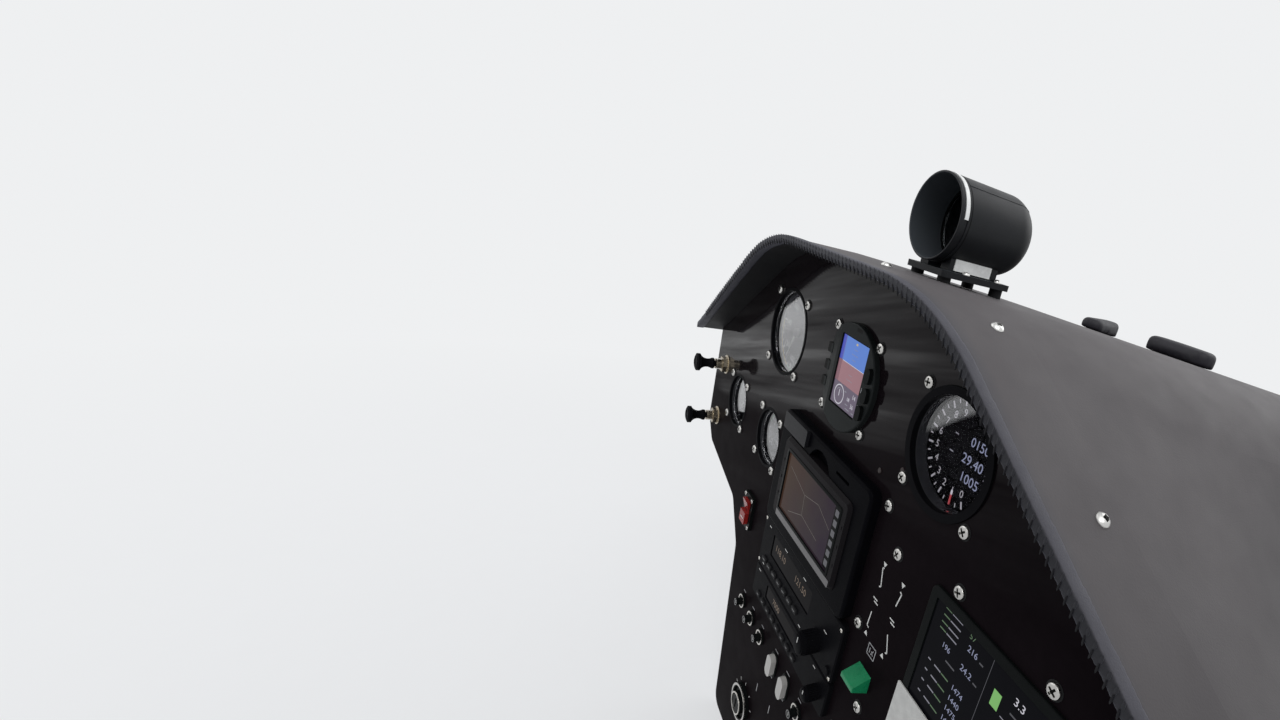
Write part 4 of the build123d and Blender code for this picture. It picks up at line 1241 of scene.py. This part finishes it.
class PANEL_OT_navigation(bpy.types.Operator):
    """Map, icons, frame and side keys of the navigation unit"""

    bl_idname = "panel.navigation"
    bl_label = "Navigation unit"

    def execute(self, context):
        screen = Piece("map_picture", "screen")
        low, bar = 10.5, 10.56
        area(screen, low, "map", -46.6, 39.4, -132.8, -82.2, 0.05)
        area(screen, low, "black_and_painted_shade", 39.6, 47.6, -132.8, -82.2, 0.05)
        for step in range(6):
            place = 43.6, -87 - step * 8.2
            screen.put("lit_dim", rounded(5.2, 5.2, 0.06, 0.8), *place, bar)
            screen.put("lit_dim", block(2.8, 0.8, 0.04), *place, bar + 0.06)
        strokes(screen, bar, "lit_road", 0.4, MAP_ROADS, 0.04)
        screen.done()
        trim = Piece("navigation_trim", "unit_grey")
        bezel = cut_by(rounded(100.4, 57.4, 0.5, 3, 0.3), lifted(block(95.2, 52.2, 4), -2))
        trim.put("bezel", bezel, 0.5, -107.5, 11.45)
        # Painted highlight: a pale strip along the bottom edge, where the bevel catches the light.
        trim.put("bottom_highlight", rounded(104, 5.6, 0.5, 1), 3, -138.6, 11.4)
        for x in (-53.2, 54.2):
            for up in (-92, -107.5, -123):
                trim.put("unit", pebble(1.5, 3.4, 0.8), x, up, 11.5)
        trim.done()
        return {"FINISHED"}


RADIO_FIGURES = [("118.10", -38, -177.6, 6), ("121.50", 6, -177.6, 6), ("7000", -26, -223.4, 5.4)]
RADIO_MARKS = [
    (-28, -166.5, 6), (12, -166.5, 5), (58, -180, 5), (20, -206, 4), (-66, -166.5, 4),
    (-70, -215.6, 5), (55, -215.6, 4), (36, -214.6, 3.4), (-66, -205.6, 3),
]
# First key's place to the side, number of keys, height on the panel, a key's width, height, thickness and
# corner, its mark's width and the mark's place aft
RADIO_KEYS = [(-64, 7, -199.6, 8.6, 4.6, 1.6, 1.2, 4.4, 6.58), (-62, 8, -236.6, 7.6, 4.2, 1.5, 1, 2.8, 6.48)]
KEY_PITCH = 12
# To the side, up, radius and length
RADIO_KNOBS = [(48, -196, 9, 15), (66, -229, 6, 11)]


class PANEL_OT_radios(bpy.types.Operator):
    """Windows, keys, knob caps and marks of the radio stack"""

    bl_idname = "panel.radios"
    bl_label = "Radio stack"

    def execute(self, context):
        piece = Piece("radio_details", "case_black")
        face, window = 5, 4
        piece.put("window", block(82, 19.6, 0.3), -14, -178.6, window)
        piece.put("window", block(76, 11.6, 0.3), -10, -223.5, window)
        write(piece, 4.3, "lit_amber", RADIO_FIGURES, 0.08)
        for first, count, up, wide, high, thick, corner, mark, mark_aft in RADIO_KEYS:
            for step in range(count):
                x = first + step * KEY_PITCH
                piece.put("rubber", rounded(wide, high, thick, corner, 0.4), x, up, face)
                piece.put("grey", block(mark, 0.6, 0.08), x, up, mark_aft)
        for knob in RADIO_KNOBS:
            self.knob(piece, *knob, face)
        dashes(piece, face - 0.04, "white", 0.8, RADIO_MARKS)
        piece.put("case", disc(3.4, 1.6, 0.5, 20), 72, -203, face)
        for x, up in square_corners(0, -185, 153, 44):
            piece.put("nut", screw_head(1.6, 0.8), x, up, face - 0.2)
        piece.done()
        return {"FINISHED"}

    def knob(self, piece, x, up, radius, length, face):
        """Cap, mark and ribs of a knob."""
        grip = turned([(0, 0), (radius * 0.8, 0), (radius * 0.8, 0.5), (radius * 0.7, 0.9), (0, 0.9)], 24)
        piece.put("case", grip, x, up, face + length)
        mark = (x, up + radius * 0.2, x, up + radius * 0.75)
        strokes(piece, face + length + 0.86, "white", 0.9, [mark])
        for step in range(24):
            rib = block(0.7, 1, length * 0.7)
            pointing(piece, "case", rib, x, up, face + 1, step * 15 + 90, radius - 0.35)


ENGINE_BLUE = [
    ("216", 186, -86, 3.8), ("24.2", 186, -99, 3.8), ("196", 168, -98.5, 3.4), ("1474", 185, -114, 3.4),
    ("1440", 185, -121, 3.4), ("1475", 185, -128, 3.4), ("1470", 185, -135, 3.4),
    ("12.4", 222, -112, 4), ("0.8", 222, -126, 4), ("64", 222, -140, 4),
]
ENGINE_BOX = [(212.4, -77, 240, -77), (240, -77, 240, -100), (240, -100, 214, -100)]
ENGINE_DASHES = [
    (193.6, -87, 3), (194, -100, 3), (222, -93.6, 7), (222, -104.6, 8), (222, -119, 8),
    (222, -133, 8), (233, -86.4, 5), (174.6, -105, 8), (202, -76, 4),
]


class PANEL_OT_engine_display(bpy.types.Operator):
    """Lit figures and bars of the engine display"""

    bl_idname = "panel.engine_display"
    bl_label = "Engine display"

    def execute(self, context):
        piece = Piece("engine_figures", "screen")
        face = 1
        write(piece, face, "lit_dim_green", [("57", 183, -79, 3.4)])
        write(piece, face, "lit_blue", ENGINE_BLUE)
        write(piece, face, "lit_white", [("3.3", 222, -86, 4.4)])
        for up in (-78, -82.5, -87, -91):
            dashes(piece, face, "lit_dim_green", 0.7, [(161.7, up, 5.4)])
            dashes(piece, face, "lit_grey", 0.7, [(169.5, up, 9)])
        for up in (-114, -121.5, -129, -137):
            dashes(piece, face, "lit_grey", 0.8, [(167, up, 6), (159.2, up, 2.4)])
            dashes(piece, face, "lit_dim_green", 0.8, [(173.8, up, 6.4)])
        area(piece, face, "lit_green", 205.8, 211.4, -100, -90.4)
        strokes(piece, face, "lit_grey", 0.5, ENGINE_BOX)
        dashes(piece, face, "lit_dim", 0.9, ENGINE_DASHES)
        strokes(piece, face, "lit_dim", 0.3, [(200, -78, 200, -148)])
        piece.done()
        return {"FINISHED"}


# Printed lines of the panel, each from its start to its stop, to the side and up
TRIM_LINES = [
    (95.6, -97, 98.8, -109.6), (95.6, -97, 97.4, -96.4), (98.8, -109.6, 97, -110.6),
    (96.8, -131, 96, -142.4), (96, -142.4, 98.2, -143.2), (120.2, -99.6, 118, -110.2),
    (120.2, -99.6, 118.2, -99), (118.4, -132, 122.8, -143.4), (122.8, -143.4, 121, -144.4),
    (94.4, -120.6, 99.6, -120.6), (96.2, -122.8, 101, -122.8), (115.8, -120.6, 121, -120.6),
    (117.6, -122.8, 122.4, -122.8), (-148.6, -183, -146.2, -183), (-148.6, -188, -146.2, -188),
    (-148.6, -194, -146.2, -194),
]
SYMBOL_LINES = [
    (103.6, -151, 112.4, -151), (112.4, -151, 112.4, -159.4), (112.4, -159.4, 103.6, -159.4),
    (103.6, -159.4, 103.6, -151), (106, -157.4, 106, -153.4), (108, -157.4, 110.2, -153.2),
    (108, -154.8, 110.4, -157.2),
]
ARROWS_X = (97, 119)
LAMP_PLACES = [(65, -42), (88, -30)]
KEY_LINES = [(-36, -322, -36, -331), (-5, -318, -5, -327)]
KEY_PLACE = (-60, -368)
GREEN_ROCKER = (-131, -188)
PULL_KNOBS = [(-270, -80), (-275, -144.5)]
BREAKERS_X = (-104, -77, -50, 40, 67)
SWITCHES_X = (-14, 13)
CONTROLS_UP = -278
NAME_DASHES = [(x, CONTROLS_UP + 11.4, 6) for x in BREAKERS_X]
NAME_DASHES += [(x, CONTROLS_UP + 14.2, 6.8) for x in SWITCHES_X]
NAME_DASHES += [(x, CONTROLS_UP - 14.6, 4) for x in SWITCHES_X]


class PANEL_OT_panel_marks(bpy.types.Operator):
    """Printed trim marks, lamps and small symbols of the panel"""

    bl_idname = "panel.panel_marks"
    bl_label = "Panel marks"

    def execute(self, context):
        piece = Piece("panel_marks", "panel_black")
        sunk = -0.02
        arrow = turned([(0, 0), (2.3, 0), (2.3, 0.12), (0, 0.12)], 3)
        for x in ARROWS_X:
            piece.put("white", arrow, x, -93.6, sunk, 270)
            piece.put("white", arrow, x, -148.6, sunk, 90)
        strokes(piece, sunk, "white", 0.9, TRIM_LINES, 0.12)
        strokes(piece, sunk, "grey_light", 0.7, SYMBOL_LINES, 0.12)
        strokes(piece, sunk, "grey_light", 1.2, KEY_LINES, 0.12)
        for x, up in LAMP_PLACES:
            piece.put("lamp", disc(2, 0.9, 0.4, 18), x, up, -0.05)
        dashes(piece, sunk, "grey_light", 0.8, NAME_DASHES, 0.12)
        for angle in (20, 55, 90, 125, 160):
            pointing(piece, "white", block(0.8, 3, 0.12), *KEY_PLACE, sunk, angle, 22)
        piece.done()
        return {"FINISHED"}


class PANEL_OT_controls(bpy.types.Operator):
    """Threads, rims and caps of the small controls"""

    bl_idname = "panel.controls"
    bl_label = "Small controls"

    def execute(self, context):
        piece = Piece("control_details", "plated_nut")
        for x, up in PULL_KNOBS:
            for step in range(6):
                thread = turned([(5.3, 0), (5.95, 0.35), (5.3, 0.7), (5.3, 0)], 24)
                piece.put("nut", thread, x, up, 6.2 + step * 1.05)
            washer = turned([(4.8, 0), (10.6, 0), (10.6, 0.7), (10.2, 0.9), (4.8, 0.9), (4.8, 0)], 32)
            piece.put("brass", washer, x, up)
            dimple = turned([(4.2, 0), (6.6, 0), (6.4, 0.5), (4.4, 0.5), (4.2, 0)], 28)
            piece.put("case", dimple, x, up, 33.9)
        for x in BREAKERS_X:
            piece.put("nut", ring(7, 1.3, 0.5, 32), x, CONTROLS_UP, 2)
            piece.put("grey", ring(3.4, 0.7, 0.4, 24), x, CONTROLS_UP, 7.9)
            piece.put("white", letters("5", 3, 0.1), x, CONTROLS_UP, 8)
        piece.put("chrome", ring(18.6, 2.2, 1.2, 56), *KEY_PLACE, 3.6)
        piece.put("nut", ring(11.2, 1.4, 0.7, 40), *KEY_PLACE, 6.8)
        for x in SWITCHES_X:
            slot = lifted(rounded(10.6, 21.6, 6, 5.2), -2)
            piece.put("bezel", cut_by(rounded(13.4, 24.4, 1.4, 5.6, 0.5), slot), x, CONTROLS_UP)
        x, up = GREEN_ROCKER
        for side, rise in square_corners(x, up, 18, 30):
            piece.put("chrome", screw_head(2.1, 1.1), side, rise, 2.95)
        piece.put("white", rounded(7, 0.9, 0.25, 0.3), x, up - 7, 6.95)
        piece.done()
        return {"FINISHED"}


COMPASS_RIM = [
    (28.6, -0.4), (30.05, -0.4), (30.05, 0.1), (29.7, 0.45), (28.95, 0.45), (28.6, 0.1), (28.6, -0.4),
]
COMPASS_CARD = "N 3 6 E 12 15 S 21 24 W 30 33"
DRUM_Y = 53
COMPASS_DRUM = [(0, -6.5), (16.6, -6.5), (17.2, -6), (17.2, 6), (16.6, 6.5), (0, 7.5)]


class PANEL_OT_compass(bpy.types.Operator):
    """Card, rim, seam and screws of the compass"""

    bl_idname = "panel.compass"
    bl_label = "Compass"

    def execute(self, context):
        piece = Piece("compass_details", "compass_trim")
        facing = Matrix.Translation(COMPASS_AXIS) @ FACING_AFT
        piece.add("compass", turned(COMPASS_RIM, 72), facing)
        piece.add("bezel", lifted(ring(28.5, 1.2, 1.4, 64), -30), facing)
        piece.add("black_and_painted_shade", lifted(ring(30.12, 0.6, 0.5, 72), -9), facing)
        drum = turned(COMPASS_DRUM, 64)
        middle = Matrix.Translation(COMPASS_AXIS + Vector((0, DRUM_Y, 0)) * MM)
        piece.add("card_black", drum, middle)
        piece.add("nut", lifted(disc(2.2, 24, steps=16), -29), middle)
        front = Matrix.Translation((0, -17.2 * MM, 0)) @ FACING_AFT
        low = Matrix.Translation((0, 0, -4.6 * MM)) @ front
        for step, text in enumerate(COMPASS_CARD.split()):
            for part in (0, 10, 20):
                turn = middle @ Matrix.Rotation(radians(step * 30 - 60 + part), 4, "Z")
                if not part:
                    piece.add("grey", letters(text, 4.2, 0.2), turn @ front)
                piece.add("grey", block(0.5, 1.4 if part else 2.2, 0.2), turn @ low)
        piece.add("grey", lifted(block(0.7, 56.4, 0.7), -34.2), facing)
        piece.add("compass", self.seam(), facing @ Matrix.Rotation(radians(52), 4, "Z"))
        piece.done()
        screws = Piece("compass_screws", "plated_nut")
        head = turned([(0, 0), (3, 0), (3, 0.5), (2.7, 1.3), (2, 2), (1, 2.35), (0, 2.4)], 32)
        for x, y in square_corners(0, 76.5, 42, 31):
            screws.add("dome", head, Matrix.Translation((x * MM, FACE_Y + y * MM, ROW_Z + 90 * MM)))
        screws.done()
        return {"FINISHED"}

    def seam(self):
        """Thin bead where the halves of the shell meet, from behind the groove over the round end."""
        line = [(29.9, -9), (29.9, -59)]
        for step in range(1, 6):
            angle = radians(step * 15)
            line.append((10 + 20 * cos(angle), -59 - 20 * sin(angle)))
        line += [(9, -79.2), (0, -80.2)]
        mesh = bmesh.new()
        verts = [mesh.verts.new((radius, -0.4, height)) for radius, height in line]
        edges = [mesh.edges.new(pair) for pair in zip(verts, verts[1:])]
        side = bmesh.ops.extrude_edge_only(mesh, edges=edges)["geom"]
        bmesh.ops.translate(mesh, vec=(0, 0.8, 0), verts=points_of(side))
        bmesh.ops.solidify(mesh, geom=mesh.faces[:], thickness=0.35)
        bmesh.ops.recalc_face_normals(mesh, faces=mesh.faces)
        return mesh


# Camera, light and floor, in metres

CAMERA_PLACE = Vector((0.3354, -0.2371, 0.2081))
CAMERA_LOOKS = Vector((-0.7447, 0.5933, -0.3057))
CAMERA_UP = Vector((-0.3982, -0.0274, 0.9169))
CAMERA_SHIFT = (-0.2125, 0.05)
# Place, power and size of each lamp
LAMPS = [
    ("key", (1.3, -0.8, 2.1), 32, 2.2),
    ("fill", (-1.8, -1.3, 1.3), 12, 2.2),
    ("front", (0.3, 2.2, 1.7), 18, 2),
]
LAMPS_AIM = Vector((0, 0, 0.05))
FLOOR_HALF = 6


class PANEL_OT_stage(bpy.types.Operator):
    """Camera at the photograph's angle, soft light and a pale floor"""

    bl_idname = "panel.stage"
    bl_label = "Stage"

    def execute(self, context):
        _, _, stage = settings()
        scene = context.scene
        scene.view_settings.view_transform = "Standard"
        self.camera(scene, stage)
        self.world(scene, stage)
        self.lamps()
        self.floor(stage)
        return {"FINISHED"}

    def camera(self, scene, stage):
        data = bpy.data.cameras.new("camera")
        data.sensor_width = 36
        data.lens = stage.lens
        data.shift_x, data.shift_y = CAMERA_SHIFT
        data.clip_start, data.clip_end = 0.01, 50
        forward = CAMERA_LOOKS.normalized()
        side = forward.cross(CAMERA_UP).normalized()
        turn = Matrix((side, side.cross(forward), -forward)).transposed().to_4x4()
        scene.camera = linked("camera", data)
        scene.camera.matrix_world = Matrix.Translation(CAMERA_PLACE) @ turn

    def world(self, scene, stage):
        world = bpy.data.worlds.new("surround")
        world.use_nodes = True
        scene.world = world
        nodes = Nodes(world.node_tree)
        soft = nodes.node("Background", {}, {"Color": (0.93, 0.95, 1), "Strength": stage.sky})
        seen = nodes.node("Background", {}, {"Color": stage.backdrop, "Strength": 1})
        mixed = nodes.shown(1, soft, seen)
        nodes.join(nodes.tree.nodes["World Output"].inputs["Surface"], mixed)

    def lamps(self):
        for name, place, power, size in LAMPS:
            data = bpy.data.lights.new(name, "AREA")
            data.energy = power
            data.size = size
            aim = LAMPS_AIM - Vector(place)
            turn = aim.to_track_quat("-Z", "Y").to_matrix().to_4x4()
            linked(name, data).matrix_world = Matrix.Translation(place) @ turn

    def floor(self, stage):
        mesh = bmesh.new()
        bmesh.ops.create_grid(mesh, x_segments=1, y_segments=1, size=FLOOR_HALF)
        floor = object_of("floor", lifted(mesh, CAD_BOX[0].z - 0.5 * MM))
        finish = Finish("pale_floor", Roughness=0.8)
        finish.feed("Base Color", mottled(finish, stage.backdrop, 0.02, 3))
        away = finish.node("VectorMath", {"operation": "LENGTH"}, {0: finish.object}, "Value")
        fade = finish.ramp(away * 0.5, (0.1, 0.5), (0.75, 1))
        seen = finish.node("Emission", {}, {"Color": stage.backdrop, "Strength": 1})
        mixed = finish.shown(fade, Signal(finish, finish.shader.outputs["BSDF"]), seen)
        finish.join(finish.tree.nodes["Material Output"].inputs["Surface"], mixed)
        floor.data.materials.append(finish.material)


# Sidebar and registration

OPERATORS = (
    PANEL_OT_finishes, PANEL_OT_rim, PANEL_OT_pads, PANEL_OT_screws, PANEL_OT_coaming_screws, PANEL_OT_dials,
    PANEL_OT_flight_display, PANEL_OT_navigation, PANEL_OT_radios, PANEL_OT_engine_display,
    PANEL_OT_panel_marks, PANEL_OT_controls, PANEL_OT_compass, PANEL_OT_stage,
)


class VIEW3D_PT_instrument_panel(bpy.types.Panel):
    """Lists the sizes, the colours and the steps"""

    bl_label = "Instrument panel"
    bl_space_type = "VIEW_3D"
    bl_region_type = "UI"
    bl_category = "Panel"

    def draw(self, context):
        layout = self.layout
        for group in settings():
            box = layout.box()
            for name in group.__annotations__:
                box.prop(group, name)
        for operator in OPERATORS:
            layout.operator(operator.bl_idname)


CLASSES = (LookSettings, SizeSettings, StageSettings, *OPERATORS, VIEW3D_PT_instrument_panel)


def register():
    for item in CLASSES:
        bpy.utils.register_class(item)
    bpy.types.Scene.panel_look = PointerProperty(type=LookSettings)
    bpy.types.Scene.panel_sizes = PointerProperty(type=SizeSettings)
    bpy.types.Scene.panel_stage = PointerProperty(type=StageSettings)


def unregister():
    del bpy.types.Scene.panel_look
    del bpy.types.Scene.panel_sizes
    del bpy.types.Scene.panel_stage
    for item in reversed(CLASSES):
        bpy.utils.unregister_class(item)


def main():
    register()
    for step in (
        bpy.ops.panel.finishes, bpy.ops.panel.rim, bpy.ops.panel.pads, bpy.ops.panel.screws,
        bpy.ops.panel.coaming_screws, bpy.ops.panel.dials, bpy.ops.panel.flight_display,
        bpy.ops.panel.navigation, bpy.ops.panel.radios, bpy.ops.panel.engine_display,
        bpy.ops.panel.panel_marks, bpy.ops.panel.controls, bpy.ops.panel.compass, bpy.ops.panel.stage,
    ):
        step()


if __name__ == "__main__":
    main()
